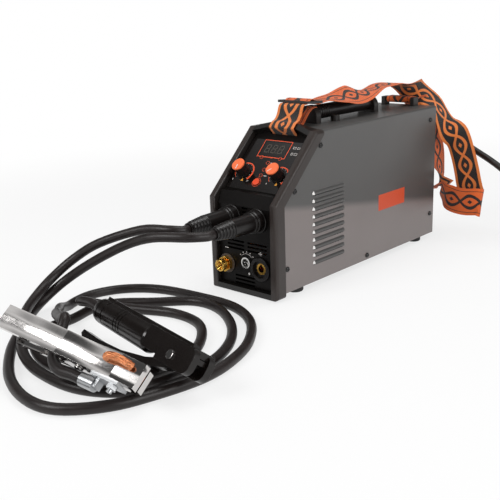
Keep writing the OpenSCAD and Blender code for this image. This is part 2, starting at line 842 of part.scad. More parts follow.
module gas_valve() {
    color("#b9954c") in_case() translate([valve_x, rear_y, valve_z]) {
        difference() {
            union() {
                translate([-9, -valve_l, -9]) cube([18, valve_l - fit, 18]);
                translate([-9, -valve_l + 8, 8]) cube([18, 28, 26]);
                bar_y(barb_d / 2, -1, sheet_t + 4);
                rotate([-90, 0, 0]) rotate_extrude()
                    polygon(concat([[0, sheet_t + 0.1], [7, sheet_t + 0.1], [7, sheet_t + 4], [3.6, sheet_t + 4]],
                        [for (i = [0 : 2], k = [0, 1]) [k == 0 ? 4.6 : 3.6, sheet_t + 5 + 5 * i + 4 * k]],
                        [[3, sheet_t + 20], [0, sheet_t + 20]]));
                bar_y(hose_bore / 2 - fit, -valve_l - hose_push, -valve_l + 1);
            }
            bar_y(1.4, -valve_l - hose_push - 1, -valve_l / 2);
            bar_y(1.4, -valve_l / 2 + 2, sheet_t + 21);
        }
    }
}

// Hose with its bore, pushed over a nipple at each end
module gas_hose() {
    last = len(hose_route) - 1;
    beyond = [0, 1, 0];
    color("#26262a") in_case() difference() {
        tube(hose_route, hose_d, 10);
        tube(concat([hose_route[0] + beyond], hose_route, [hose_route[last] - beyond]), hose_bore + 0.4, 10);
    }
}

module mains_gland() {
    out = sheet_t + fit;
    color("#141415") in_case() translate([gland_x, rear_y, gland_z]) {
        rotate([-90, 0, 0]) rotate_extrude()
            polygon([[0, -8], [gland_d / 2, -8], [gland_d / 2, out], [gland_d / 2 + 4, out], [gland_d / 2 + 4, out + 5],
                     [gland_d / 2 + 2, out + 8], [mains_d / 2 + 3, out + 10], [mains_d / 2 + 1, gland_l],
                     [0, gland_l]]);
        difference() {
            bar_y(gland_d / 2 + 3, -6, -fit);
            bar_y(gland_d / 2 - 1, -7, 1);
        }
    }
}

module feet() {
    r = foot_d / 2;
    color("#17181a") in_case() for (p = foot_places) translate([p[0], p[1], -foot_h]) {
        rotate_extrude() intersection() {
            union() {
                translate([0, 2.5]) square([r, foot_h - 2.5]);
                square([r - 2.5, foot_h]);
                translate([r - 2.5, 2.5]) circle(2.5);
            }
            square([r, foot_h]);
        }
        cylinder(d = stud_d, h = foot_h + sheet_t + 2);
    }
}

// Pan-head screw, head seat at z = 0, shank downwards
module pan_screw(d, head_d, l) {
    h = head_d * 0.32;
    difference() {
        rotate_extrude() polygon([[0, -l], [d / 2, -l], [d / 2, 0], [head_d / 2, 0], [head_d / 2, h * 0.45],
                                  [head_d * 0.32, h], [0, h]]);
        for (a = [0, 90]) rotate(a) translate([-head_d * 0.25, -0.4, h * 0.4]) cube([head_d * 0.5, 0.8, h]);
    }
}

module cover_screws() {
    color("#141414") in_case() {
        for (side = [-1, 1], p = screw_places)
            translate([side * (case_w / 2 + fit), p[0], p[1]]) rotate([0, side * 90, 0])
                pan_screw(screw_d, screw_head_d, 8);
        for (sx = [-1, 1], sz = [-1, 1])
            translate([sx * fan_hole, rear_y + sheet_t + 2 + fit, fan_z + sz * fan_hole]) rotate([-90, 0, 0])
                pan_screw(fan_screw_d, 2 * fan_screw_d, fan_t + 2);
    }
}

module power_board() {
    seat = board_z + fit;
    color("#2b6b3f") in_case() {
        translate([-46, board_front_y, seat]) cube([92, board_rear_y - board_front_y, board_t]);
        for (p = capacitor_places) translate([p[0], p[1], seat]) cylinder(d = 32, h = 50);
        for (p = [[12, 48], [28, 48], [20, 72]]) translate([p[0], p[1], seat]) cube([12, 18, 16]);
    }
}

module heat_sinks() {
    foot = board_z + fit + board_t;
    fins = 7;
    color("#b8bcc0") in_case() for (side = [-1, 1]) translate([side * 26, sink_y, foot + fit]) {
        translate([-14, 0, 0]) cube([28, sink_l, 5]);
        for (i = [0 : fins - 1]) translate([-14 + i * 4.4, 0, 0]) cube([1.6, sink_l, 44]);
    }
}

module transformer() {
    foot = board_z + 2 * fit + board_t;
    color("#33302d") in_case() translate([0, 118, foot]) {
        translate([-30, -22, 0]) cube([60, 44, 12]);
        translate([-30, -22, 38]) cube([60, 44, 12]);
        for (x = [-30, 20]) translate([x, -22, 0]) cube([10, 44, 50]);
        translate([0, 0, 6]) cylinder(d = 36, h = 38);
    }
}

module output_choke() {
    foot = board_z + 2 * fit + board_t;
    color("#b06a3a") in_case() {
        translate([-24, 62, foot + 19]) difference() {
            cube([30, 38, 38], center = true);
            rotate([0, 90, 0]) cylinder(d = 14, h = 40, center = true);
        }
        // copper bars to the backs of the weld sockets
        for (p = socket_places) translate([p[0] - 5, -wall_set + 29 + fit, p[1] - 5]) cube([10, 2, 14]);
        translate([-27, -wall_set + 29 + fit, socket_z + 9]) cube([54, 2, 6]);
        translate([-27, -wall_set + 29 + fit, foot + 30]) cube([8, 2, socket_z - foot - 16]);
        translate([-27, -wall_set + 29 + fit, foot + 26]) cube([8, 62 - 19 + wall_set - 28, 4]);
        translate([20, -wall_set + 29 + fit, low_socket_z + 8]) cube([8, 2, socket_z - low_socket_z]);
    }
}

// ---- Handle and strap fittings ----

module handle_cap(y) {
    r = handle_w / 2;
    h = handle_h - r;
    translate([0, y, case_h]) {
        translate([-r, 0, 0]) cube([handle_w, cap_t, h]);
        intersection() {
            translate([0, 0, h]) bar_y(r, 0, cap_t);
            translate([-r, 0, 0]) cube([handle_w, cap_t, handle_h]);
        }
    }
}

module handle_caps() {
    color("#1a1a1b") in_case() {
        difference() {
            union() {
                handle_cap(handle_y);
                handle_cap(handle_y + handle_l - cap_t);
            }
            for (y = [handle_y, handle_y + handle_l - cap_t]) translate([0, 0, grip_z])
                bar_y(grip_core_d / 2 + fit, y + (y > handle_y ? -1 : 3), y + cap_t + (y > handle_y ? -3 : 1));
        }
        for (p = top_studs) if (p[0] == 0)
            translate([p[0], p[1], case_h - sheet_t - 3]) cylinder(d = stud_d, h = 6);
        translate([puck_x, puck_y, case_h + fit]) cylinder(d = 12.5, h = 8);
        translate([puck_x, puck_y, case_h - sheet_t - 3]) cylinder(d = stud_d, h = 6);
    }
}

module handle_grip() {
    y0 = handle_y + cap_t + gap;
    y1 = handle_y + handle_l - cap_t - gap;
    rings = 5;
    color("#1e1e1f") in_case() translate([0, 0, grip_z]) difference() {
        union() {
            bar_y(grip_d / 2, y0, y1);
            bar_y(grip_core_d / 2, handle_y + 3.5, handle_y + handle_l - 3.5);
        }
        for (i = [0 : rings - 1]) translate([0, y0 + 4 + i * 5, 0]) difference() {
            bar_y(grip_d, 0, 2);
            bar_y(grip_d / 2 - 1.2, -1, 3);
        }
    }
}

module strap_bracket() {
    color("#1b1b1c") in_case() {
        side_pair(bracket_half) translate([-3, bracket_y - 7, case_h + fit]) cube([6, 14, bracket_bar_z + 4]);
        side_pair(bracket_half) translate([0, bracket_y, case_h - sheet_t - 3]) cylinder(d = stud_d, h = 6);
        translate([0, bracket_y, case_h + bracket_bar_z]) rotate([0, 90, 0])
            cylinder(d = 6, h = 2 * bracket_half, center = true);
    }
}

module strap_slider() {
    color("#121213") in_case() translate([0, slider_y, slider_z]) rotate([slider_tilt, 0, 0]) difference() {
        cube([strap_w + 10, slider_l, 3.4], center = true);
        for (side = [-1, 1]) translate([0, side * (slider_l / 2 - 9), 0]) cube([strap_w + 2, 10, 10], center = true);
    }
}

// ---- Swept shapes ----

function unit(v) = v / norm(v);
function tangent(p, i) = unit(p[min(i + 1, len(p) - 1)] - p[max(i - 1, 0)]);
// Part of v that is square to the unit vector t
function square_to(v, t) = unit(v - (v * t) * t);
// One direction across the path at each point, carried along it without twist
function path_normals(p) = [
    for (i = 0, n = square_to([0.1, 0.2, 1], tangent(p, 0)); i < len(p);
         i = i + 1, n = square_to(n, tangent(p, min(i, len(p) - 1)))) n];

// Triangles between rings of n points each, with both ends closed
function ring_faces(rings, n) = concat(
    [for (i = [0 : rings - 2], k = [0 : n - 1]) [i * n + k, (i + 1) * n + k, i * n + (k + 1) % n]],
    [for (i = [0 : rings - 2], k = [0 : n - 1])
        [i * n + (k + 1) % n, (i + 1) * n + k, (i + 1) * n + (k + 1) % n]],
    [for (k = [1 : n - 2]) [0, k, k + 1]],
    [for (k = [1 : n - 2]) [(rings - 1) * n, (rings - 1) * n + k + 1, (rings - 1) * n + k]]);

module tube(path, d, sides) {
    normals = path_normals(path);
    points = [for (i = [0 : len(path) - 1], k = [0 : sides - 1])
        let (t = tangent(path, i), a = k * 360 / sides)
        path[i] + d / 2 * (cos(a) * normals[i] + sin(a) * cross(t, normals[i]))];
    polyhedron(points, ring_faces(len(path), sides));
}

// Flat band along stations of [x, y, z, and the direction across the band]
module band(stations, w, t) {
    path = [for (q = stations) [q[0], q[1], q[2]]];
    points = [for (i = [0 : len(path) - 1])
        let (along = tangent(path, i),
             side = square_to([stations[i][3], stations[i][4], stations[i][5]], along) * w / 2,
             up = cross(along, unit(side)) * t / 2)
        each [path[i] + side + up, path[i] - side + up, path[i] - side - up, path[i] + side - up]];
    polyhedron(points, ring_faces(len(path), 4));
}

// Smallest clear gap of a wound tube to its own other turns
function self_gap(p, d, skip) =
    min([for (i = [0 : len(p) - 1 - skip], j = [i + skip : len(p) - 1]) norm(p[i] - p[j])]) - d;

// ---- Strap ----

strap_route = [
    // free end under the slider, forward over the cover and down behind the rim
    [0, 116, 223.4, 1, 0, 0], [0, 106, 222.2, 1, 0, 0], [0, 97, 216, 1, 0, 0], [0, 90, 208, 1, 0, 0],
    [0, 84, 203, 1, 0, 0], [0, 79.6, 199.5, 1, 0, 0], [0, 78.1, 195, 1, 0, 0], [0, 78, 191, 1, 0, 0],
    [0, 77.1, 188.8, 1, 0, 0], [0, 75.2, 189, 1, 0, 0],
    // up the front of the rim, over the top and back to the slider
    [0, 67, 197.7, 1, 0, 0], [0, 65.1, 200.3, 1, 0, 0], [0, 65.8, 201.8, 1, 0, 0], [0, 70.8, 206.9, 1, 0, 0],
    [0, 73, 207.8, 1, 0, 0], [0, 77, 209.6, 1, 0, 0], [0, 82, 216, 1, 0, 0], [0, 86, 226, 1, 0, 0],
    [0, 90, 229.2, 1, 0, 0], [0, 93, 229, 1, 0, 0], [0, 97, 230.4, 1, 0, 0], [0, 103, 234.4, 1, 0, 0],
    [0, 109, 234, 1, 0, 0], [0, 115, 228.6, 1, 0, 0], [0, 119, 227.2, 1, 0, 0], [0, 124, 227.4, 1, 0, 0],
    // over the handle, with the right edge hanging low
    [1, 145, 228, 1, 0, 0.05], [3, 165, 228, 1, 0, -0.1], [6, 185, 228, 1, 0, -0.25],
    [8, 205, 229, 0.9, 0, -0.5], [8, 221, 230, 0.85, 0, -0.55], [6, 238, 230, 0.9, 0, -0.4],
    [3, 258, 230, 1, 0, -0.1], [1, 280, 232, 1, 0, 0.1], [0, 305, 235, 1, 0, 0], [0, 328, 236, 1, 0, 0],
    [1, 345, 233, 1, 0.1, 0], [5, 360, 228, 0.9, 0.4, 0], [13, 374, 221, 0.7, 0.7, 0],
    // down behind the case
    [24, 387, 214, 0.4, 0.9, 0], [37, 396, 203, 0.1, 1, 0.1], [49, 398, 188, 0, 1, 0], [59, 396, 173, 0.3, 0.95, 0],
    [69, 397, 160, 0.8, 0.6, 0], [80, 398, 147, 1, 0.1, -0.1], [89, 398, 125, 1, 0, -0.2],
    [97, 397, 100, 1, 0, -0.2], [103, 395, 80, 1, 0, -0.2], [110, 393, 64, 1, 0, 0.1],
    // bottom bend and the way back up
    [119, 391, 55, 0.8, 0, 0.6], [128, 387, 53, 0.3, 0, 1], [132, 381, 55, 0, 0.1, 1], [127, 375, 57, 0, 0, 1],
    [105, 373, 55, 0, 0, 1], [82, 375, 58, 0, 0, 1], [68, 380, 66, -0.4, 0, 1], [58, 386, 78, -0.5, 0.5, 0.6],
    [51, 396, 95, -0.2, 1, 0], [46, 397, 120, 0, 1, 0], [41, 397, 148, 0, 1, 0], [33, 396, 170, 0.3, 0.9, 0],
    [22, 390, 189, 0.7, 0.7, 0], [11, 381, 201.5, 0.9, 0.3, 0], [3, 370, 205.4, 1, 0, 0],
    // once round the rear bracket's bar
    [0, 359, 204.8, 1, 0, 0], [0, 354, 204.8, 1, 0, 0], [0, 351.6, 206.4, 1, 0, 0], [0, 350.8, 209, 1, 0, 0],
    [0, 352, 212, 1, 0, 0], [0, 355, 213.2, 1, 0, 0], [0, 362, 213.6, 1, 0, 0], [0, 370, 212, 1, 0, 0]
];

// Stations are drawn for a case 370 long and 200 high; those behind the handle follow its rear end
function strap_station(q) = [q[0], q[1] + (q[1] > 250 ? case_l - 370 : 0), q[2] + case_h - 200, q[3], q[4], q[5]];

module strap() {
    color("#e8622c") in_case() band([for (q = strap_route) strap_station(q)], strap_w, strap_t);
}

// ---- Leads and mains cord ----

function turn_x(a, p) = [p[0], p[1] * cos(a) - p[2] * sin(a), p[1] * sin(a) + p[2] * cos(a)];
function turn_y(a, p) = [p[0] * cos(a) + p[2] * sin(a), p[1], p[2] * cos(a) - p[0] * sin(a)];
function turn_z(a, p) = [p[0] * cos(a) - p[1] * sin(a), p[0] * sin(a) + p[1] * cos(a), p[2]];
function placed(at, a, p) = at + turn_z(a[2], turn_y(a[1], turn_x(a[0], p)));

plug_end_y = -case_l / 2 - wall_set - plug_l;
lead_z = lead_d / 2;
clamp_at = [72, -510, 39];
clamp_turn = [38, 6.3, 7];
holder_at = [-25, -413, 36.5];
holder_turn = [-38, 0, -12];

electrode_route = concat(
    [[-socket_x, plug_end_y, foot_h + socket_z], [-socket_x, plug_end_y - 10, foot_h + socket_z]],
    [[-34, -299, 104], [-71, -311, 101], [-122, -337, 82], [-153, -357, 60], [-165, -384, 39], [-157, -414, 26],
     [-131, -448, 20], [-90, -479, 17], [-50, -506, 10]],
    [for (p = [[-5, -519], [50, -521], [90, -507], [114, -482], [121, -448], [127, -411], [119, -371],
               [97, -331], [62, -296], [18, -272], [-24, -272], [-62, -305], [-98, -336], [-107, -366],
               [-98, -404], [-95, -445], [-70, -478], [-22, -500], [32, -501], [76, -489], [98, -452],
               [98, -408], [78, -362], [38, -324], [-12, -317]]) [p[0], p[1], lead_z]],
    [[-60, -338, 7], [-88, -356, 11], [-99, -382, 21], [-84, -401, 31]],
    [for (x = [-32, -12, 0]) placed(holder_at, holder_turn, [x, 0, 0])]);

earth_route = concat(
    [[socket_x, plug_end_y, foot_h + socket_z], [socket_x, plug_end_y - 12, foot_h + socket_z]],
    [[8, -309, 103.5], [-32, -327, 101], [-72, -338, 87], [-122, -354, 59], [-156, -373, 33], [-165, -400, 14],
     [-152, -427, 7]],
    [for (p = [[-115, -467], [-70, -509], [-12, -547], [42, -564], [84, -558], [118, -523], [135, -478],
               [145, -427], [141, -382], [122, -331], [82, -282], [30, -256], [-32, -256], [-95, -267],
               [-135, -296], [-151, -338], [-140, -380]]) [p[0], p[1], lead_z]],
    [[-115, -409, 18], [-82, -434, 28], [-43, -463, 43], [-6, -482, 52]],
    [for (p = [[-59, 30, -5.4], [-52, 14, -5.4], [-46, -2, -5.4], [-37, -16, -5.2], [-22, -22, -4.6],
               [-6, -21, -4], [8, -21, -4]])
        placed(clamp_at, clamp_turn, p)]);

coil_at = [265, 250];
coil_pitch = mains_d + coil_gap;
coil_steps = 24;
plug_at = [335, coil_at[1] - coil_r, 20];

// Loops wind in on the floor, climb one layer and wind out again
function coil_point(u) =
    let (half = coil_loops / 2, in = min(u, coil_loops - u),
         climb = min(max(u - half + 0.25, 0), 0.5) / 0.5,
         a = 360 * u - 90, r = coil_r - in * coil_pitch)
    [coil_at[0] + r * cos(a), coil_at[1] + r * sin(a), mains_d / 2 + climb * coil_pitch];

coil_route = [for (i = [0 : coil_loops * coil_steps]) coil_point(i / coil_steps)];
coil_start = coil_route[0];
coil_end = coil_route[coil_loops * coil_steps];
coil_lead = [mains_d, 0, 0];

mains_route = concat(
    [for (y = [gland_l, gland_l + 12]) [gland_x, rear_y - case_l / 2 + y, foot_h + gland_z]],
    [[17, 234, 169], [25, 250, 163.5], [46, 261, 150.5], [84, 262, 131], [124, 256, 113], [162, 242, 93],
     [192, 218, 66], [207, 195, 36], [221, 182, 15]],
    [coil_start - 2.2 * coil_lead, coil_start - coil_lead]);

tail_route = [coil_end + coil_lead, coil_end + 2 * coil_lead, [312, plug_at[1], 18.5],
              plug_at - [12, 0, 0], plug_at];

module electrode_lead() {
    color("#242221") tube(electrode_route, lead_d, 10);
}

module earth_lead() {
    color("#242221") tube(earth_route, lead_d, 10);
}

module mains_cord() {
    color("#1f1e1e") {
        tube(mains_route, mains_d, 8);
        tube(tail_route, mains_d, 8);
    }
}

module mains_coil() {
    color("#1f1e1e") tube(concat([coil_start - coil_lead], coil_route, [coil_end + coil_lead]), mains_d, 6);
}

module mains_plug() {
    pin_l = 19;
    color("#1a1a1b") translate(plug_at) rotate([0, 90, 0]) {
        rotate_extrude() polygon([[0, 0], [mains_d / 2 + 1.5, 0], [mains_d / 2 + 3, 22], [14, 26], [19.5, 34],
                                  [19.5, 60], [18, 62], [0, 62]]);
        for (y = [-9.5, 9.5]) translate([0, y, 61]) cylinder(d = 4.8, h = pin_l);
    }
}

// ---- Earth clamp: local x to the jaw tip, z across the opening ----

module in_clamp() {
    translate(clamp_at) rotate(clamp_turn) children();
}

clamp_pin_r = 3;
arm_rise = 19;

// Side view of the upper half: jaw at the right, handle at the left
module clamp_side(inset) {
    polygon([[clamp_jaw_l - inset, 1 + inset], [clamp_jaw_l - inset, 9], [48, 15 - inset], [14, 13 - inset],
             [-24, 17 - inset], [-clamp_arm_l + inset, arm_rise + 3 - inset], [-clamp_arm_l + inset, arm_rise - 3],
             [-30, 12], [-14, -6 + inset], [8, -7 + inset], [26, 5 + inset], [clamp_jaw_l - 16, 4 + inset]]);
}

// A stamped half: a channel whose web lies on the outside
module clamp_half(w) {
    difference() {
        rotate([90, 0, 0]) linear_extrude(w, center = true) clamp_side(0);
        rotate([90, 0, 0]) linear_extrude(w - 2 * clamp_t, center = true)
            polygon([[clamp_jaw_l - clamp_t, -20], [clamp_jaw_l - clamp_t, 9 - clamp_t], [48, 15 - 1.1 * clamp_t],
                     [14, 13 - 1.1 * clamp_t], [-24, 17 - 1.1 * clamp_t],
                     [clamp_t - clamp_arm_l, arm_rise + 3 - 1.1 * clamp_t], [clamp_t - clamp_arm_l, -20]]);
        rotate([90, 0, 0]) cylinder(r = clamp_pin_r + run, h = w + 2, center = true);
    }
}

lower_w = clamp_w - 2 * clamp_t - 2 * gap;

module clamp_upper_jaw() {
    color("#d4d4d6") in_clamp() clamp_half(clamp_w);
}

module clamp_lower_jaw() {
    color("#c9c9cc") in_clamp() mirror([0, 0, 1]) clamp_half(lower_w);
}

module clamp_pin() {
    color("#b5b5b8") in_clamp() rotate([90, 0, 0]) {
        cylinder(r = clamp_pin_r, h = clamp_w + 3, center = true);
        for (side = [0, 1]) mirror([0, 0, side]) translate([0, 0, clamp_w / 2 + fit]) cylinder(r = 5, h = 1.6);
    }
}

function spring_path(r, pitch, turns, steps) = [for (i = [0 : turns * steps])
    let (a = 360 * i / steps) [r * cos(a), pitch * (i / steps - turns / 2), r * sin(a)]];

clamp_spring_path = spring_path(5.2, 2.8, 6, 8);

module clamp_spring() {
    color("#9fa1a4") in_clamp() tube(clamp_spring_path, 1.8, 6);
}

module clamp_upper_contact() {
    color("#c8743c") in_clamp() difference() {
        translate([44, -6, 1.2]) cube([clamp_jaw_l - 44 - clamp_t - fit, 12, 4]);
        for (x = [50 : 6 : clamp_jaw_l - 8]) translate([x, -10, 0]) cube([1.6, 20, 2]);
    }
}

module clamp_lower_contact() {
    color("#c8743c") in_clamp() mirror([0, 0, 1]) translate([44, -6, 1.2])
        cube([clamp_jaw_l - 44 - clamp_t - fit, 12, 4]);
}

module clamp_braid() {
    color("#d98a4e") in_clamp() tube([[35, 3, 15.3], [35.6, 3, 18.8], [41, 4, 22.6], [51, 5, 23], [60, 5, 18.6],
                                      [64, 5, 13.6]], 7, 8);
}

// Barrel on the lead's end, a palm on the jaw's cheek, and the bolt through the palm
module clamp_lug() {
    near = -clamp_w / 2 - fit;
    palm_t = 3;
    bolt_at = [50, near - palm_t, 4];
    color("#cfd0d2") in_clamp() {
        translate([8, -21, -4]) rotate([0, 90, 0]) cylinder(r = lead_d / 2 + 1, h = 18);
        translate([24, -24, -9]) cube([6, 24 + near, 10]);
        translate([24, near - palm_t, -9]) cube([34, palm_t, 20]);
        translate(bolt_at) rotate([90, 0, 0]) cylinder(d = 11, h = 4.5, $fn = 6);
        translate(bolt_at) rotate([90, 0, 0]) cylinder(d = 6, h = 8);
    }
}

// ---- Electrode holder: local x to the jaws, -z to the lever ----

module in_holder() {
    translate(holder_at) rotate(holder_turn) children();
}

holder_pin_x = 172;
holder_pin_z = -3;
holder_pin_r = 3.5;
lever_w = 12;
cheek_in = lever_w / 2 + gap;
cheek_out = 14;

module holder_handle() {
    r = holder_grip_d / 2;
    rings = [10, 22, 52, 58, 64];
    color("#1b1a1a") in_holder() difference() {
        union() {
            rotate([0, 90, 0]) rotate_extrude() polygon([[0, 0], [r - 3, 0], [r - 0.5, 4], [r, 10],
                [r, holder_grip_l - 4], [r - 2, holder_grip_l], [0, holder_grip_l]]);
            translate([6, -5, 0]) cube([holder_grip_l - 6, 10, r + 2]);
        }
        for (x = rings) translate([x, 0, 0]) rotate([0, 90, 0]) difference() {
            cylinder(r = r + 4, h = 1.6);
            translate([0, 0, -1]) cylinder(r = r - 1, h = 4);
            translate([-r - 5, -6, -1]) cube([r, 12, 4]);
        }
    }
}

module holder_head() {
    x0 = holder_grip_l + fit;
    color("#1b1a1a") in_holder() difference() {
        union() {
            translate([x0, -cheek_out, -10]) cube([152 - x0, 2 * cheek_out, 24]);
            translate([x0, -5, 12]) cube([holder_pin_x + 14 - x0, 10, 5]);
            for (side = [-1, 1])
                translate([0, side > 0 ? cheek_in : -cheek_out, 0]) {
                    translate([148, 0, -14]) cube([holder_l - 148 - 10, cheek_out - cheek_in, 28]);
                    translate([holder_l - 10, 0, -4]) cube([10, cheek_out - cheek_in, 8]);
                    for (z = [-4, 4]) translate([holder_l - 10, 0, z]) bar_y(10, 0, cheek_out - cheek_in);
                }
            // fixed jaw between the cheeks
            translate([148, -cheek_out, 7]) cube([holder_l - 153, 2 * cheek_out, 7]);
        }
        translate([holder_pin_x, 0, holder_pin_z]) bar_y(holder_pin_r + run, -20, 20);
        translate([134, -cheek_in, -20]) cube([19, 2 * cheek_in, 16]);
    }
}

module holder_lever() {
    color("#201f1f") in_holder() difference() {
        rotate([90, 0, 0]) linear_extrude(lever_w, center = true)
            polygon([[-6, -29], [30, -29.5], [80, -26], [125, -18.2], [158, -8], [holder_pin_x, 5],
                     [holder_l - 4, 6.4], [holder_l - 4, 1], [holder_pin_x + 8, -9], [160, -18],
                     [125, -27], [80, -35], [30, -38], [-2, -38], [-8, -34]]);
        translate([holder_pin_x, 0, holder_pin_z]) bar_y(holder_pin_r + run, -20, 20);
        translate([holder_pin_x, 0, holder_pin_z]) bar_y(7, -3.4, 3.4);
    }
}

module holder_pin() {
    color("#c4c4c6") in_holder() translate([holder_pin_x, 0, holder_pin_z]) {
        bar_y(holder_pin_r, -cheek_out - 1, cheek_out + 1);
        bar_y(5, -cheek_out - 2.2, -cheek_out - fit);
        bar_y(5, cheek_out + fit, cheek_out + 2.2);
    }
}

holder_spring_path = spring_path(4.8, 1.9, 3, 8);

module holder_spring() {
    color("#9fa1a4") in_holder() translate([holder_pin_x, 0, holder_pin_z])
        tube(holder_spring_path, 1.2, 6);
}

echo(coil_gap_to_itself = self_gap(coil_route, mains_d, 12));
echo(clamp_spring_gap_to_itself = self_gap(clamp_spring_path, 1.8, 5));
echo(holder_spring_gap_to_itself = self_gap(holder_spring_path, 1.2, 5));

cover();
base_pan();
front_bezel();
front_panel();
control_overlay();
display_window();
control_board();
potentiometers();
knob_left();
knob_left_cap();
knob_right();
knob_right_cap();
mode_button();
indicator_lights();
weld_sockets();
weld_socket_inserts();
plug_left();
plug_right();
gas_outlet();
gas_outlet_washer();
torch_control_socket();
rear_panel();
fan_frame();
fan_rotor();
fan_guard();
power_switch();
power_rocker();
gas_valve();
gas_hose();
mains_gland();
feet();
cover_screws();
handle_grip();
handle_caps();
strap();
strap_slider();
strap_bracket();
power_board();
heat_sinks();
transformer();
output_choke();
electrode_lead();
earth_lead();
mains_cord();
mains_coil();
mains_plug();
clamp_lower_jaw();
clamp_upper_jaw();
clamp_pin();
clamp_spring();
clamp_lower_contact();
clamp_upper_contact();
clamp_braid();
clamp_lug();
holder_handle();
holder_head();
holder_lever();
holder_pin();
holder_spring();
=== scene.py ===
# %% [markdown]
# # A portable inverter welding machine
# The machine is a folded sheet-metal case with a moulded front, two welding leads, an earth
# clamp, an electrode holder, a carrying strap and a mains cord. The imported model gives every
# solid at its real place and size. This lesson gives those solids softened edges and finishes,
# and adds what is too fine for the solids: prints, stitching, weave, strands and wires.

# %% Load the frame
import json
import math
import numpy as np
import bpy
import bmesh
from mathutils import Euler, Matrix, Vector


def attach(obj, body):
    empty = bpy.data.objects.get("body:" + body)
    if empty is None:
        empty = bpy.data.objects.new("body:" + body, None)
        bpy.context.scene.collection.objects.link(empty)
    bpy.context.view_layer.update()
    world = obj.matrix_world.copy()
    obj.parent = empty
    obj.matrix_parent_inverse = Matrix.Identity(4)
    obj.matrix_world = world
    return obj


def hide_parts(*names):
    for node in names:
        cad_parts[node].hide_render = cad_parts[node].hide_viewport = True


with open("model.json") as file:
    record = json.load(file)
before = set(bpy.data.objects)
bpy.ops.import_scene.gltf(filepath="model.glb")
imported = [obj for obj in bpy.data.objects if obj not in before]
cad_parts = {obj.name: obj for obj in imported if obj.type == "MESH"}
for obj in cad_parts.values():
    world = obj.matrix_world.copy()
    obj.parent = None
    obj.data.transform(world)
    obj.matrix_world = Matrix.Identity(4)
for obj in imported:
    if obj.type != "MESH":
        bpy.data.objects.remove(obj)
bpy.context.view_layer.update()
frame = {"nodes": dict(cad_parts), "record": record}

nodes, record = frame["nodes"], frame["record"]
body_of = {n: b for b, members in record["behaviour"]["bodies"].items() for n in members}
MM = 0.001
into_scene = bpy.context.scene.collection.objects.link

# %% [markdown]
# The camera comes first, because the cords are checked against what it sees. Its axes were found
# from the case's straight edges. A matrix of three axes and a place is the plainest way to set it.

# %% Camera
right = Vector((0.744984, 0.666308, -0.032131))
up = Vector((-0.165943, 0.231758, 0.958515))
back = Vector((0.646113, -0.708747, 0.283225))
camera_data = bpy.data.cameras.new("photo_camera")
camera_data.sensor_width = 36
camera_data.lens = 58.976
camera_data.clip_start = 0.05
camera = bpy.data.objects.new("photo_camera", camera_data)
camera.matrix_world = Matrix((right, up, back)).transposed().to_4x4()
camera.location = (0.691570, -0.947237, 0.361037)
into_scene(camera)
bpy.context.scene.camera = camera
print("camera at", tuple(round(v, 3) for v in camera.location))

# %% [markdown]
# ## Small helpers
# `Wire` wraps one shader socket, so that a mask or a height can be written as a sum. `Finish`
# holds one material and makes its nodes by type, sockets and settings.

# %% Nodes and shader sums
def new_node(tree, kind, sockets=None, **settings):
    """One node's outputs; a socket is given a value, a Wire or another node's output."""
    made = tree.nodes.new(kind)
    for key, value in settings.items():
        setattr(made, key, value)
    for key, value in (sockets or {}).items():
        value = value.socket if isinstance(value, Wire) else value
        if isinstance(value, bpy.types.NodeSocket):
            tree.links.new(value, made.inputs[key])
        else:
            made.inputs[key].default_value = value
    return made.outputs


def math_step(operation, turned=False):
    """A method of Wire that makes one math node; a turned one takes its own wire last."""
    return lambda self, *others: self.math(operation, *((*others, self) if turned else (self, *others)))


class Wire:
    def __init__(self, tree, socket):
        self.tree, self.socket = tree, socket

    def math(self, operation, *values, clamp=False):
        made = new_node(self.tree, "ShaderNodeMath", dict(enumerate(values)),
                        operation=operation, use_clamp=clamp)
        return Wire(self.tree, made[0])

    __add__, __radd__ = math_step("ADD"), math_step("ADD", True)
    __sub__, __rsub__ = math_step("SUBTRACT"), math_step("SUBTRACT", True)
    __mul__, __rmul__ = math_step("MULTIPLY"), math_step("MULTIPLY", True)
    __truediv__, __gt__, __lt__ = math_step("DIVIDE"), math_step("GREATER_THAN"), math_step("LESS_THAN")
    abs, sin, fract = math_step("ABSOLUTE"), math_step("SINE"), math_step("FRACT")
    max, min, power = math_step("MAXIMUM"), math_step("MINIMUM"), math_step("POWER")

    def smooth(self, low, high):
        """0 up to `low`, 1 from `high`, with an even bend between."""
        t = self.math("DIVIDE", self - low, high - low, clamp=True)
        return t * t * (3 - 2 * t)


def linear(hex_colour, share=1.0):
    """A colour in linear light, made darker or lighter by a share."""
    channels = [int(hex_colour[i:i + 2], 16) / 255 for i in (1, 3, 5)]
    channels = [c / 12.92 if c <= 0.04045 else ((c + 0.055) / 1.055) ** 2.4 for c in channels]
    return tuple(min(1.0, c * share) for c in channels) + (1.0,)


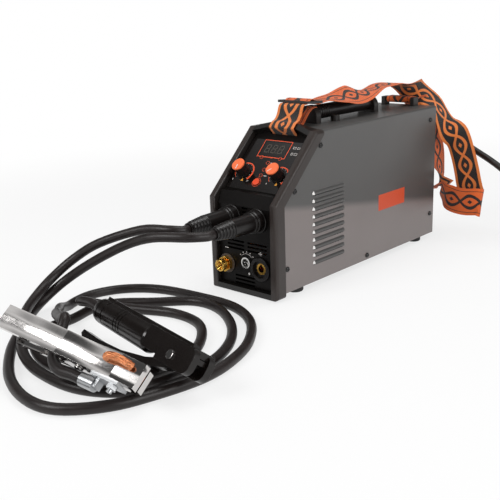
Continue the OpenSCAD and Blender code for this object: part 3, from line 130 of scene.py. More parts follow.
class Finish:
    """One material; constants are the shader's own sockets, with _ for a space."""
    def __init__(self, name, roughness, metallic=0.0, **constants):
        self.material = bpy.data.materials.new(name)
        self.material.use_nodes = True
        self.tree = self.material.node_tree
        self.shader = self.tree.nodes["Principled BSDF"]
        for socket, value in {"Roughness": roughness, "Metallic": metallic, **constants}.items():
            self.shader.inputs[socket.replace("_", " ")].default_value = value
        self.place = self.node("ShaderNodeTexCoord", "Object")

    def node(self, kind, output, sockets=None, **settings):
        return Wire(self.tree, new_node(self.tree, kind, sockets, **settings)[output])

    def axes(self, vector=None):
        made = new_node(self.tree, "ShaderNodeSeparateXYZ", {"Vector": vector or self.place})
        return [Wire(self.tree, axis) for axis in made]

    def noise(self, scale, detail=3.0, roughness=0.5, stretch=None):
        place = self.place
        if stretch:
            place = self.node("ShaderNodeMapping", "Vector", {"Vector": place, "Scale": stretch})
        return self.node("ShaderNodeTexNoise", "Fac",
                         {"Vector": place, "Scale": scale, "Detail": detail, "Roughness": roughness})

    def mix(self, factor, first, second):
        """From the first colour to the second: hex, linear light or a wire."""
        first, second = (linear(c) if isinstance(c, str) else c for c in (first, second))
        return self.node("ShaderNodeMix", 2, {0: factor, 6: first, 7: second}, data_type="RGBA")

    def set(self, name, wire):
        self.tree.links.new(wire.socket, self.shader.inputs[name])
        return self

    def paint(self, factor, first, second):
        return self.set("Base Color", self.mix(factor, first, second))

    def bump(self, height, depth):
        normal = self.node("ShaderNodeBump", "Normal", {"Height": height, "Distance": depth})
        return self.set("Normal", normal)


# %% [markdown]
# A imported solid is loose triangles. To soften its edges, a copy is merged, its flat triangles are
# dissolved into whole faces, and a Bevel rounds the edges, as a mould or a press brake does. The
# copy then stands for the node and rides on the node's own body.

# %% Softened copies of solids
SHARP_FROM, BEVEL_FROM = 32, 28  # degrees between two faces
MERGE, FLAT = 0.00001, math.radians(0.6)  # corners that are one, faces that are one


def add_piece(name, mesh, node, finish=None):
    """A new piece that rides on a node's body, with a finish when one is given."""
    piece = bpy.data.objects.new(name, mesh)
    into_scene(piece)
    if finish:
        mesh.materials.clear()
        mesh.materials.append(finish.material)
    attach(piece, body_of[node])
    return piece


def apply_modifiers(piece):
    graph = bpy.context.evaluated_depsgraph_get()
    old, mesh = piece.data, bpy.data.meshes.new_from_object(piece.evaluated_get(graph))
    piece.modifiers.clear()
    piece.data = mesh
    if old.users == 0:
        bpy.data.meshes.remove(old)


def shade(mesh, angle=SHARP_FROM):
    mesh.shade_smooth()
    mesh.set_sharp_from_angle(angle=math.radians(angle))


def softened(node, finish, bevel, segments=2, wide=None):
    """A merged copy of a node with its sharp edges rounded; bevel in millimetres.

    `wide` takes an edge and gives a larger radius for it in millimetres, or 0."""
    form = bmesh.new()
    form.from_mesh(nodes[node].data)
    bmesh.ops.remove_doubles(form, verts=form.verts, dist=MERGE)
    bmesh.ops.dissolve_limit(form, angle_limit=FLAT, verts=form.verts, edges=form.edges)
    if wide:
        form.normal_update()
        radius_of = {e: wide(e) for e in form.edges}
        for radius in sorted({r for r in radius_of.values() if r}):
            bmesh.ops.bevel(form, geom=[e for e, r in radius_of.items() if r == radius and e.is_valid],
                            offset=radius * MM, segments=5, profile=0.5, affect="EDGES", clamp_overlap=True)
    mesh = bpy.data.meshes.new(node + "_shape")
    form.to_mesh(mesh)
    form.free()
    piece = add_piece(node + "_shape", mesh, node, finish)
    if bevel:
        rounding = piece.modifiers.new("edges", "BEVEL")
        rounding.width, rounding.segments = bevel * MM, segments
        rounding.limit_method, rounding.angle_limit = "ANGLE", math.radians(BEVEL_FROM)
        rounding.use_clamp_overlap = True
        apply_modifiers(piece)
    shade(piece.data)
    even = piece.modifiers.new("even_normals", "WEIGHTED_NORMAL")
    even.keep_sharp, even.weight = True, 80
    apply_modifiers(piece)
    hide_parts(node)
    return piece


def painted(node, finish):
    """A node whose own mesh is shown, with a finish."""
    nodes[node].data.materials.clear()
    nodes[node].data.materials.append(finish.material)


def curves_through(name, paths):
    """One curve object's data with a poly spline along each path, in metres."""
    data = bpy.data.curves.new(name, "CURVE")
    data.dimensions = "3D"
    for path in paths:
        line = data.splines.new("POLY")
        line.points.add(len(path) - 1)
        for point, place in zip(line.points, path):
            point.co = (*place, 1.0)
    return data


# %% [markdown]
# ## The three cords
# A lead is a length of rubber cable, so each one is a tube along the same listed points as
# the solid in the imported model. Catmull-Rom steps between the points keep it smooth. Most of the
# mains cord is put away behind the machine, wound in a flat coil of two layers.

# %% Routes
def placed(at, turn, point):
    """A point of a piece at `at`, turned about x, then y, then z, in degrees."""
    return Vector(at) + Euler([math.radians(a) for a in turn], "XYZ").to_matrix() @ Vector(point)


def smooth_steps(points, per):
    """Catmull-Rom steps through points of any size, `per` from each to the next."""
    rows = [np.array(p, dtype=float) for p in points]
    rows = [2 * rows[0] - rows[1], *rows, 2 * rows[-1] - rows[-2]]
    steps = []
    for a, b, c, d in zip(rows, rows[1:], rows[2:], rows[3:]):
        for k in range(per):
            t = k / per
            steps.append(0.5 * (2 * b + (c - a) * t + (2 * a - 5 * b + 4 * c - d) * t * t
                                + (3 * b - a - 3 * c + d) * t ** 3))
    return steps + [rows[-2]]


def rounded_path(points, per, lowest):
    """Smooth steps, none lower than `lowest`; millimetres in, metres out."""
    return [Vector((x, y, max(z, lowest))) * MM for x, y, z in smooth_steps(points, per)]


CLAMP_AT, CLAMP_TURN = (72, -510, 39), (38, 6.3, 7)
HOLDER_AT, HOLDER_TURN = (-25, -413, 36.5), (-38, 0, -12)
LEAD_D, MAINS_D = 12.0, 10.0


def on_floor(places):
    return [(x, y, LEAD_D / 2) for x, y in places]


electrode_route = (
    [(-22, -276.5, 102.3), (-22, -286.5, 102.3), (-34, -299, 104), (-71, -311, 101), (-122, -337, 82),
     (-153, -357, 60), (-165, -384, 39), (-157, -414, 26), (-131, -448, 20), (-90, -479, 17), (-50, -506, 10)]
    + on_floor([(-5, -519), (50, -521), (90, -507), (114, -482), (121, -448), (127, -411), (119, -371),
                (97, -331), (62, -296), (18, -272), (-24, -272), (-62, -305), (-98, -336), (-107, -366),
                (-98, -404), (-95, -445), (-70, -478), (-22, -500), (32, -501), (76, -489), (98, -452),
                (98, -408), (78, -362), (38, -324), (-12, -317)])
    + [(-60, -338, 7), (-88, -356, 11), (-99, -382, 21), (-84, -401, 31)]
    + [placed(HOLDER_AT, HOLDER_TURN, (x, 0, 0)) for x in (-32, -12, 0)])
earth_route = (
    [(22, -276.5, 102.3), (22, -288.5, 102.3), (8, -309, 103.5), (-32, -327, 101), (-72, -338, 87),
     (-122, -354, 59), (-156, -373, 33), (-165, -400, 14), (-152, -427, 7)]
    + on_floor([(-115, -467), (-70, -509), (-12, -547), (42, -564), (84, -558), (118, -523), (135, -478),
                (145, -427), (141, -382), (122, -331), (82, -282), (30, -256), (-32, -256), (-95, -267),
                (-135, -296), (-151, -338), (-140, -380)])
    + [(-115, -409, 18), (-82, -434, 28), (-43, -463, 43), (-6, -482, 52)]
    + [placed(CLAMP_AT, CLAMP_TURN, p) for p in
       ((-59, 30, -5.4), (-52, 14, -5.4), (-46, -2, -5.4), (-37, -16, -5.2), (-22, -22, -4.6),
        (-6, -21, -4), (8, -21, -4))])
print(len(electrode_route), "and", len(earth_route), "points")

# %% Mains route with its coil
COIL_X, COIL_Y, COIL_R, COIL_PITCH = 265, 250, 68.0, 10.8
LOOPS, STEPS_PER_LOOP, CLIMB = 5, 24, 0.5  # the climb is in turns


def coil_point(turns):
    """Loops wind in on the floor, climb one layer at the middle and wind out again."""
    inward = min(turns, LOOPS - turns)
    climbed = min(max(turns - LOOPS / 2 + CLIMB / 2, 0), CLIMB) / CLIMB
    angle, radius = math.radians(360 * turns - 90), COIL_R - inward * COIL_PITCH
    return (COIL_X + radius * math.cos(angle), COIL_Y + radius * math.sin(angle),
            MAINS_D / 2 + climbed * COIL_PITCH)


mains_route = (
    [(15, 210.8, 170), (15, 222.8, 170), (17, 234, 169), (25, 250, 163.5), (46, 261, 150.5),
     (84, 262, 131), (124, 256, 113), (162, 242, 93), (192, 218, 66), (207, 195, 36), (221, 182, 15),
     (243, 182, 5), (255, 182, 5)]
    + [coil_point(i / STEPS_PER_LOOP) for i in range(STEPS_PER_LOOP * LOOPS + 1)]
    + [(275, 182, 15.8), (285, 182, 15.8), (312, 182, 18.5), (323, 182, 20), (335, 182, 20)])
print("mains route of", len(mains_route), "points")


# %% Cords as tubes
def cord_tube(name, route, diameter, node, per=5):
    """A piece that stands for a node's cord, and the cord's middle line in metres."""
    path = rounded_path(route, per, diameter / 2)
    curve = curves_through(name, [path])
    curve.bevel_depth, curve.bevel_resolution, curve.use_fill_caps = diameter / 2 * MM, 5, True
    round_curve = bpy.data.objects.new(name, curve)
    tube = bmesh.new()
    tube.from_mesh(bpy.data.meshes.new_from_object(round_curve))
    bmesh.ops.remove_doubles(tube, verts=tube.verts, dist=0.000001)
    mesh = bpy.data.meshes.new(name)
    tube.to_mesh(mesh)
    tube.free()
    mesh.shade_smooth()
    bpy.data.objects.remove(round_curve)
    length = sum((b - a).length for a, b in zip(path, path[1:]))
    print(f"{name}: {length:.3f} m in {len(path)} points")
    return add_piece(name, mesh, node), path


electrode_cord, electrode_path = cord_tube("electrode_lead_rubber", electrode_route, LEAD_D, "electrode_lead")
earth_cord, earth_path = cord_tube("earth_lead_rubber", earth_route, LEAD_D, "earth_lead")
mains_cable, mains_path = cord_tube("mains_cord_rubber", mains_route, MAINS_D, "mains_cord", per=3)
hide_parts("electrode_lead")
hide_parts("earth_lead")
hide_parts("mains_cord", "mains_coil")

# %% [markdown]
# ## The place the machine stands in
# A plain pale floor and soft light from large lamps. The floor and the world show white to the
# camera and in gloss and glass, and light the machine with less, so pale parts keep their shades.
# Above the horizon the white is broken by dark bands for gloss alone, as a studio's flags do, because
# chrome shows nothing but what stands round it.

# %% Floor and world
def kinds_of_ray(tree):
    """Wires that are 1 for rays from the camera, from gloss and through glass."""
    outputs = new_node(tree, "ShaderNodeLightPath")
    return [Wire(tree, outputs[f"Is {kind} Ray"]) for kind in ("Camera", "Glossy", "Transmission")]


FAR = 6.0
SHADOWS, FADE_FROM, FADE_TO = 0.28, 0.55, 1.3  # the share of shadow that shows, and where it fades
floor_mesh = bpy.data.meshes.new("studio_floor")
floor_mesh.from_pydata([(-FAR, -FAR, 0), (FAR, -FAR, 0), (FAR, FAR, 0), (-FAR, FAR, 0)], [], [(0, 1, 2, 3)])
studio_floor = bpy.data.objects.new("studio_floor", floor_mesh)
into_scene(studio_floor)
floor_finish = Finish("studio_floor", 0.9, Base_Color=(0.8, 0.8, 0.8, 1))
floor_tree = floor_finish.tree
floor_x, floor_y, _ = floor_finish.axes()
distance = (floor_x * floor_x + floor_y * floor_y).power(0.5)
white_share = 1 - SHADOWS + SHADOWS * distance.smooth(FADE_FROM, FADE_TO)
seen, gloss, through = kinds_of_ray(floor_tree)
blend = new_node(floor_tree, "ShaderNodeMixShader", {
    0: seen.max(gloss).max(through) * white_share, 1: floor_finish.shader.outputs[0],
    2: new_node(floor_tree, "ShaderNodeEmission")[0]})
floor_tree.links.new(blend[0], floor_tree.nodes["Material Output"].inputs[0])
floor_mesh.materials.append(floor_finish.material)

# Heights on the sky, 0 at the horizon and 1 overhead, over which each dark band comes or goes.
LOW_BAND_IN, LOW_BAND_OUT, TOP_BAND_IN, SLATS_IN = (0.10, 0.24), (0.58, 0.70), (0.80, 0.90), (0.45, 0.6)
BAND_DARK, WORLD_LIGHT = 0.93, 0.5
world = bpy.data.worlds.new("studio")
bpy.context.scene.world = world
world.use_nodes = True
sky = world.node_tree
background = sky.nodes["Background"]
background.inputs["Color"].default_value = (1, 1, 1, 1)
seen, gloss, through = kinds_of_ray(sky)
way = new_node(sky, "ShaderNodeTexCoord")["Generated"]
east, north, height = (Wire(sky, axis) for axis in new_node(sky, "ShaderNodeSeparateXYZ", {0: way}))
bands = height.smooth(*LOW_BAND_IN) * (1 - height.smooth(*LOW_BAND_OUT)) + height.smooth(*TOP_BAND_IN)
slats = (east * 5.0 + north * 2.2).sin().smooth(-0.2, 0.7) * height.smooth(*SLATS_IN)
dark = bands.max(slats).min(1.0)
plain = seen.max(through)
shine = plain.max(gloss * (1 - dark * BAND_DARK))
lit = 1 - plain.max(gloss)
sky.links.new((shine + lit * WORLD_LIGHT).socket, background.inputs["Strength"])
bpy.context.scene.view_settings.view_transform = "Standard"


# %% Lamps
def soft_lamp(name, place, aim, size, watts):
    data = bpy.data.lights.new(name, "AREA")
    data.shape, data.size, data.energy = "DISK", size, watts
    lamp = bpy.data.objects.new(name, data)
    lamp.location = place
    lamp.rotation_euler = (Vector(aim) - Vector(place)).to_track_quat("-Z", "Y").to_euler()
    into_scene(lamp)


soft_lamp("key_lamp", (-0.45, -1.9, 1.45), (0, -0.1, 0.05), 1.0, 22)
soft_lamp("side_lamp", (1.9, -0.3, 0.9), (0, 0, 0.1), 1.2, 16)
soft_lamp("top_lamp", (0.1, 0.3, 2.0), (0, -0.1, 0.1), 1.0, 12)
print(len(bpy.data.lights), "lamps")

# %% [markdown]
# ## Finishes
# Each real surface has its own fine structure: powder coat has orange peel, moulded plastic a
# spark-eroded grain, cable rubber a dull bloom, chrome faint wipe marks. The patterns read Object
# coordinates, so they stay put when a piece is baked or moved.

# %% Plastics and paint
def moulded(name, colour, roughness, specular=0.5, grain=1200, depth=0.00003, wear=0.12,
            lighter=None, inside=None):
    """Moulded plastic: fine grain and slow changes of shade and gloss.

    `wear` is the change of shade; `lighter` names the lighter shade instead. `inside` is a painted shade:
    the dark colour the front bezel turns to in its opening."""
    finish = Finish(name, roughness, Specular_IOR_Level=specular)
    slow = finish.noise(28, 2.0)
    base = finish.mix(slow, linear(colour, 1 - wear), lighter or linear(colour, 1 + wear))
    if inside:
        # Painted shade: the walls in the bezel's opening turn to the dark `inside` colour.
        opening_shade = 1 - finish.axes()[0].abs().smooth(0.0464, 0.0480)
        base = finish.mix(opening_shade * (1 - slow * 0.2), base, inside)
    finish.set("Base Color", base)
    finish.set("Roughness", roughness + (slow - 0.5) * 0.12)
    return finish.bump(finish.noise(grain, 2.0), depth)


# Where the louvres stand out of the cover's sides, and where their sheared-open front ends carry a painted
# highlight.
LOUVRE_X, LOUVRE_FRONT, LOUVRE_BACK, LOUVRE_TOP = 0.0562, -0.1290, -0.0550, 0.135
LOUVRE_HIGHLIGHT_FROM, LOUVRE_HIGHLIGHT_LOW = -0.1246, 0.032


def powder_coat(name, upper, lower, roughness):
    """Satin paint with orange peel; a painted reflection makes it a shade lighter near the ground, and a
    painted highlight lies on the louvres' front ends.
    """
    finish = Finish(name, roughness, Coat_Weight=0.12, Coat_Roughness=0.25)
    x, y, z = finish.axes()
    # Painted reflection: below a line that falls towards the back, the paint takes the lighter lower tone.
    step = (z + y * 0.155 + (finish.noise(9, 1.0) - 0.5) * 0.004).smooth(0.085, 0.098)
    base = finish.mix(step, lower, upper)
    louvre = (x.abs() > LOUVRE_X) * (y > LOUVRE_FRONT) * (y < LOUVRE_BACK) * (z < LOUVRE_TOP)
    # The louvres keep the upper tone, without the painted reflection.
    base = finish.mix(louvre, base, upper)
    # Painted highlight: the louvres' front ends turn near-white.
    base = finish.mix(louvre * (y < LOUVRE_HIGHLIGHT_FROM) * (z > LOUVRE_HIGHLIGHT_LOW), base, "#f4f2f0")
    clouds = finish.noise(14, 3.0)
    finish.paint(clouds * 0.10, base, (0.0, 0.0, 0.0, 1))
    finish.set("Roughness", roughness + (clouds - 0.5) * 0.10)
    return finish.bump(finish.noise(620, 1.0), 0.00004)


# The lighter lower tone, #7b7371, is a painted reflection of the floor.
cover_paint = powder_coat("cover_paint", "#4d4c4b", "#7b7371", 0.40)
# The bezel's opening carries a painted shade, #100f0e.
bezel_plastic = moulded("bezel_plastic", "#2a2422", 0.33, 0.4, wear=0, lighter="#352e2b", inside="#100f0e")
panel_plastic = moulded("panel_plastic", "#0b0807", 0.40, 0.14)
knob_plastic = moulded("knob_plastic", "#141414", 0.38, depth=0.00002)
cap_orange = moulded("cap_orange", "#ee7040", 0.40, wear=0.05)
button_orange = moulded("button_orange", "#e24b26", 0.36, wear=0.05)
socket_plastic = moulded("socket_plastic", "#100c0b", 0.30, 0.38)
handle_plastic = moulded("handle_plastic", "#1e1917", 0.42, 0.4)
holder_plastic = moulded("holder_plastic", "#120d0b", 0.24, 0.4, depth=0.00002)
fan_plastic = moulded("fan_plastic", "#19191b", 0.45)
rocker_plastic = moulded("rocker_plastic", "#b5301f", 0.32, wear=0.05)
rear_paint = moulded("rear_paint", "#2b2a2a", 0.50, grain=700)
screw_black = moulded("screw_black", "#151414", 0.30)
slider_plastic = moulded("slider_plastic", "#131211", 0.40)
washer_brown = moulded("washer_brown", "#4d423b", 0.5)
LOWER_WALL_TOP = 0.06


def lamp_lens(name, unlit, clear):
    """Unlit lamps on the slope are dark, the one on the lower wall is milky."""
    finish = Finish(name, 0.22)
    _, _, z = finish.axes()
    finish.paint(z < LOWER_WALL_TOP, unlit, clear)
    return finish.bump(finish.noise(900, 1.0), 0.00001)


lens_plastic = lamp_lens("lens_plastic", "#2b1a16", "#efece8")


# %% Rubber and metals
def rubber(name, colour, roughness):
    """Rubber with a dull bloom that lightens it in patches."""
    finish = Finish(name, roughness, Specular_IOR_Level=0.38)
    bloom = finish.noise(60, 4.0)
    finish.paint(bloom.smooth(0.35, 0.75), colour, linear(colour, 1.45))
    finish.set("Roughness", roughness + (bloom - 0.5) * 0.2)
    return finish.bump(finish.noise(1500, 2.0), 0.00003)


def metal(name, colour, roughness, stretch=(1, 1, 1), waves=0.0):
    """Metal with faint wipe marks along one way, and a press's slow waves in metres."""
    finish = Finish(name, roughness, 1.0)
    marks = finish.noise(260, 4.0, 0.6, stretch)
    finish.paint(finish.noise(35, 2.0) * 0.35, colour, linear(colour, 0.72))
    finish.set("Roughness", roughness + (marks - 0.5) * 0.12)
    if waves:
        return finish.bump(marks * (0.00001 / waves) + finish.noise(42, 1.0, stretch=(0.35, 1, 1)), waves)
    return finish.bump(marks, 0.00001)


cord_rubber = rubber("cord_rubber", "#1c1615", 0.40)
mains_rubber = rubber("mains_rubber", "#1a1615", 0.40)
grip_rubber = rubber("grip_rubber", "#15100f", 0.36)
foot_rubber = rubber("foot_rubber", "#1b1a1a", 0.6)
hose_rubber = rubber("hose_rubber", "#181818", 0.5)
chrome = metal("chrome", "#c9c6c4", 0.09, (0.15, 1, 1), waves=0.0026)
zinc = metal("zinc", "#b9bbbd", 0.30)
pan_metal = metal("pan_metal", "#3a3b3c", 0.42)
spring_steel = metal("spring_steel", "#9fa1a4", 0.25)
brass = metal("brass", "#d3a650", 0.22)
copper = metal("copper", "#d47a45", 0.30)
aluminium = metal("aluminium", "#b4b7ba", 0.35, (1, 0.1, 1))
for cord_piece, finish in ((electrode_cord, cord_rubber), (earth_cord, cord_rubber),
                           (mains_cable, mains_rubber)):
    cord_piece.data.materials.append(finish.material)
print(len(bpy.data.materials), "materials")

# %% [markdown]
# ## The case
# The cover is sheet steel with two long bends, louvres pressed out of it and pan-head screws. The
# bezel and panel are mouldings with softer edges than sheet metal, so their bevels are wider.

# %% Cover, pan and bezel
RAIL_X, OPENING_X, RAIL_R, OPENING_R = 0.0575, 0.047, 5.0, 2.6  # metres, radii in millimetres


def bezel_radius(edge):
    """The rails' outer edges are rounded widely, the opening's less; the back edges stay as they are."""
    if len(edge.link_faces) != 2 or len({round(abs(v.co.x), 4) for v in edge.verts}) != 1:
        return 0
    flat = [f.normal for f in edge.link_faces if abs(f.normal.x) < 0.1]
    walls = [f for f in edge.link_faces if abs(f.normal.x) > 0.9]
    side = abs(edge.verts[0].co.x)
    if len(flat) != 1 or len(walls) != 1 or flat[0].y > 0.3:
        return 0
    if side > RAIL_X:
        return RAIL_R
    return OPENING_R if abs(side - OPENING_X) < 0.0004 and flat[0].y < -0.3 else 0


cover = softened("cover", cover_paint, 0.5)
softened("base_pan", pan_metal, 0.2, 1)
softened("front_bezel", bezel_plastic, 0.9, 3, bezel_radius)
softened("front_panel", panel_plastic, 0.25)
softened("rear_panel", rear_paint, 0.25, 1)
softened("feet", foot_rubber, 0.8)
print(len(cover.data.vertices), "corners of the cover")

# %% Controls
overlay = softened("control_overlay", None, 0.12, 1)
softened("mode_button", button_orange, 0.5)
softened("indicator_lights", lens_plastic, 0.3)
for side in ("left", "right"):
    softened(f"knob_{side}", knob_plastic, 0.25)
    softened(f"knob_{side}_cap", cap_orange, 0.35)
painted("control_board", moulded("board_green", "#1d5a34", 0.4))
painted("potentiometers", zinc)

# %% Sockets, plugs and gas
thread = Finish("brass_thread", 0.2, 1.0)
THREAD_FRONT, THREAD_BACK, THREAD_PITCH = -0.2128, -0.2052, 0.0018
_, thread_y, _ = thread.axes()
tarnish = thread.noise(120, 3.0)
thread.paint(tarnish * 0.22, "#e6b95c", "#9a7430")
thread.set("Roughness", 0.18 + tarnish * 0.12)
on_thread = (thread_y < THREAD_BACK) * (thread_y > THREAD_FRONT)
thread.bump((thread_y * (math.tau / THREAD_PITCH)).sin() * on_thread, 0.00010)
for piece in (("weld_sockets", socket_plastic, 0.35), ("weld_socket_inserts", brass, 0.2),
              ("plug_left", socket_plastic, 0.45), ("plug_right", socket_plastic, 0.45),
              ("gas_outlet_washer", washer_brown, 0.3), ("gas_outlet", thread, 0.3),
              ("cover_screws", screw_black, 0.8, 3)):
    softened(*piece)

# %% Torch control socket: metal pins and shell in a black bore
SOCKET_X, SOCKET_Z, BORE_R, PIN_X, PIN_R = 0.001, 0.043, 0.0047, 0.0024, 0.0011
ring_finish = Finish("socket_ring", 0.12)
ring_x, _, ring_z = ring_finish.axes()
off_x, off_z = ring_x - SOCKET_X, ring_z - SOCKET_Z
from_axis = (off_x * off_x + off_z * off_z).power(0.5)
pin_x = off_x.abs() - PIN_X
off_pin = (pin_x * pin_x + off_z * off_z).power(0.5)
is_metal = (from_axis > BORE_R).max(off_pin < PIN_R)
ring_finish.paint(is_metal, "#0d0c0c", "#c9c8c6")
ring_finish.set("Metallic", is_metal)
ring_finish.set("Roughness", 0.34 - is_metal * 0.22 + (ring_finish.noise(300) - 0.5) * 0.06)
softened("torch_control_socket", ring_finish, 0.25)

# %% Rear and inside
for piece in (("fan_frame", fan_plastic, 0.5), ("fan_rotor", fan_plastic, 0.3), ("fan_guard", chrome, 0),
              ("power_switch", socket_plastic, 0.4), ("power_rocker", rocker_plastic, 0.6),
              ("gas_valve", brass, 0.3), ("mains_gland", socket_plastic, 0.4)):
    softened(*piece)
for piece in (("gas_hose", hose_rubber), ("power_board", moulded("board_brown", "#2f2118", 0.4)),
              ("heat_sinks", aluminium), ("transformer", moulded("core_grey", "#3f4347", 0.5)),
              ("output_choke", copper)):
    painted(*piece)

# %% Strip that closes the gap between the front panel and the pan
STRIP_X, STRIP_Y, STRIP_Z = (-47.0, 47.0), (-184.2, -168.4), (8.3, 9.1)
strip_mesh = bpy.data.meshes.new("front_strip")
strip_mesh.from_pydata(
    [(x * MM, y * MM, z * MM) for z in STRIP_Z for y in STRIP_Y for x in STRIP_X], [],
    [(0, 2, 3, 1), (4, 5, 7, 6), (0, 1, 5, 4), (2, 6, 7, 3), (0, 4, 6, 2), (1, 3, 7, 5)])
add_piece("front_strip", strip_mesh, "base_pan", pan_metal)

# %% Handle and bracket
for piece in (("handle_grip", grip_rubber, 0.9, 3), ("handle_caps", handle_plastic, 1.0, 3),
              ("strap_bracket", handle_plastic, 0.5), ("strap_slider", slider_plastic, 0.7)):
    softened(*piece)


# %% Chrome of the clamp's jaws
def rolled_chrome(node):
    """Chrome over strip steel: hollows along the jaw make the studio show in streaks."""
    spacing, depth = 0.021, 0.0007
    corners = np.array([v.co for v in nodes[node].data.vertices])
    middle = corners.mean(axis=0)
    ways = np.linalg.eigh(np.cov((corners - middle).T))[1].T
    across = min(ways[:2], key=lambda way: abs(way[2]))
    finish = Finish("rolled_chrome_" + node, 0.08, 1.0)
    place = sum((axis - float(m)) * float(w) for axis, m, w in zip(finish.axes(), middle, across))
    marks = finish.noise(260, 4.0, 0.6)
    finish.paint(finish.noise(35, 2.0) * 0.35, "#dad7d5", "#a9a5a3")
    finish.set("Roughness", 0.07 + marks * 0.08)
    hollows = (place * (math.tau / spacing) + finish.noise(16, 1.0) * 2.0).sin()
    return finish.bump(hollows + marks * 0.015, depth)


# %% Clamp and holder
FOLD_R, FOLD_LENGTH, FOLD_WIDTH = 1.7, 0.008, 0.005


def folded_edge(edge):
    """A channel's long outer folds are rounder than its cut rims."""
    faces = edge.link_faces
    if len(faces) != 2 or not edge.is_convex or edge.calc_length() < FOLD_LENGTH:
        return 0
    return FOLD_R if min(f.calc_area() / edge.calc_length() for f in faces) > FOLD_WIDTH else 0


for jaw in ("clamp_upper_jaw", "clamp_lower_jaw"):
    softened(jaw, rolled_chrome(jaw), 0.35, 2, folded_edge)
for piece in (("clamp_pin", chrome, 0.5), ("clamp_upper_contact", copper, 0.2),
              ("clamp_lower_contact", copper, 0.2), ("clamp_lug", zinc, 0.6),
              ("holder_handle", holder_plastic, 0.7), ("holder_head", holder_plastic, 1.2, 3),
              ("holder_lever", holder_plastic, 1.2, 3), ("holder_pin", chrome, 0.6),
              ("mains_plug", socket_plastic, 0.8)):
    softened(*piece)
painted("clamp_spring", spring_steel)
painted("holder_spring", spring_steel)

# %% [markdown]
# ## Prints
# The slope carries a glossy overlay with printed marks. A print is a flat shape a few hundredths
# of a millimetre above its ground, so it is drawn in millimetres across and up the slope and
# placed by one function. Only dial numbers and plain signs are printed.

# %% Flat shapes on the slope and on the wall
COVER_FRONT, FEET_H = -185, 8
SLOPE, SLOPE_FOOT, OVERLAY_OUT = math.atan2(80, 83), 114, 7.86
WALL_OUT, SIDE_X, INK_OUT = 11.5, 56, 0.05


def from_case(x, y, z):
    """Millimetres from the cover's lower front edge; metres in the world."""
    return Vector((x, y + COVER_FRONT, z + FEET_H)) * MM


def on_slope(x, s, n=OVERLAY_OUT):
    """x across, s up the slope, n off it."""
    return from_case(x, s * math.cos(SLOPE) - n * math.sin(SLOPE),
                     SLOPE_FOOT + s * math.sin(SLOPE) + n * math.cos(SLOPE))


def on_wall(x, z):
    return from_case(x, -WALL_OUT - 0.06, z)


def on_right_side(y, z):
    return Vector((SIDE_X + INK_OUT, y, z)) * MM


class Print:
    """Flat shapes in one colour on one ground; `frame` takes half its width and height."""
    def __init__(self, place):
        self.place, self.points, self.faces = place, [], []

    def add(self, corners):
        first = len(self.points)
        self.points += [self.place(*c) for c in corners]
        self.faces.append(tuple(range(first, first + len(corners))))

    def bar(self, x0, y0, x1, y1):
        self.add([(x0, y0), (x1, y0), (x1, y1), (x0, y1)])

    def frame(self, x, y, w, h, line):
        for a, b, c, d in ((-w, -h, w, line - h), (-w, h - line, w, h), (-w, line - h, line - w, h - line),
                           (w - line, line - h, w, h - line)):
            self.bar(x + a, y + b, x + c, y + d)

    def arc(self, x, y, radius, width, start, end, width_end=None, steps=40):
        width_end = width if width_end is None else width_end
        rim = []
        for i in range(steps + 1):
            angle = math.radians(start + (end - start) * i / steps)
            w = width + (width_end - width) * i / steps
            rim.append([(x + r * math.cos(angle), y + r * math.sin(angle)) for r in (radius, radius + w)])
        for (a, b), (d, c) in zip(rim, rim[1:]):
            self.add([a, b, c, d] if end > start else [d, c, b, a])

    def disc(self, x, y, radius, sides=28):
        turns = [math.tau * i / sides for i in range(sides)]
        self.add([(x + radius * math.cos(turn), y + radius * math.sin(turn)) for turn in turns])

    def words(self, text, x, y, height):
        """A number from Blender's own font, as flat faces."""
        font = bpy.data.curves.new("figure", "FONT")
        font.body, font.size, font.align_x, font.align_y = text, height, "CENTER", "CENTER"
        letter = bpy.data.objects.new("figure", font)
        mesh = bpy.data.meshes.new_from_object(letter)
        for face in mesh.polygons:
            self.add([(x + mesh.vertices[v].co.x, y + mesh.vertices[v].co.y) for v in face.vertices])
        bpy.data.objects.remove(letter)

    def build(self, name, finish, node):
        mesh = bpy.data.meshes.new(name)
        mesh.from_pydata(self.points, [], self.faces)
        mesh.update()
        add_piece(name, mesh, node, finish)


# %% Ink and glass
def ink(name, colour, roughness=0.45):
    finish = Finish(name, roughness)
    spread = finish.noise(900, 2.0)
    finish.paint(spread * 0.18, colour, (0.02, 0.02, 0.02, 1))
    return finish


def glossy_film(name, colour, roughness=0.16):
    """Printed film or glass: almost a mirror, with dust and wipe marks in its gloss."""
    finish = Finish(name, roughness, Coat_Weight=0.3, Coat_Roughness=0.08)
    dust = finish.noise(700, 3.0).smooth(0.62, 0.80)
    finish.paint(dust * 0.12, colour, "#5a5450")
    finish.set("Roughness", roughness + dust * 0.25 + (finish.noise(40, 3.0) - 0.5) * 0.08)
    return finish


ink_orange, ink_white = ink("ink_orange", "#f0562c"), ink("ink_white", "#e6e0dc")
ink_yellow, segment_grey = ink("ink_yellow", "#f0a63a"), ink("segment_grey", "#47413a")
overlay.data.materials.append(glossy_film("overlay_film", "#0d0908").material)
softened("display_window", glossy_film("display_glass", "#14110f", 0.10), 0.3)

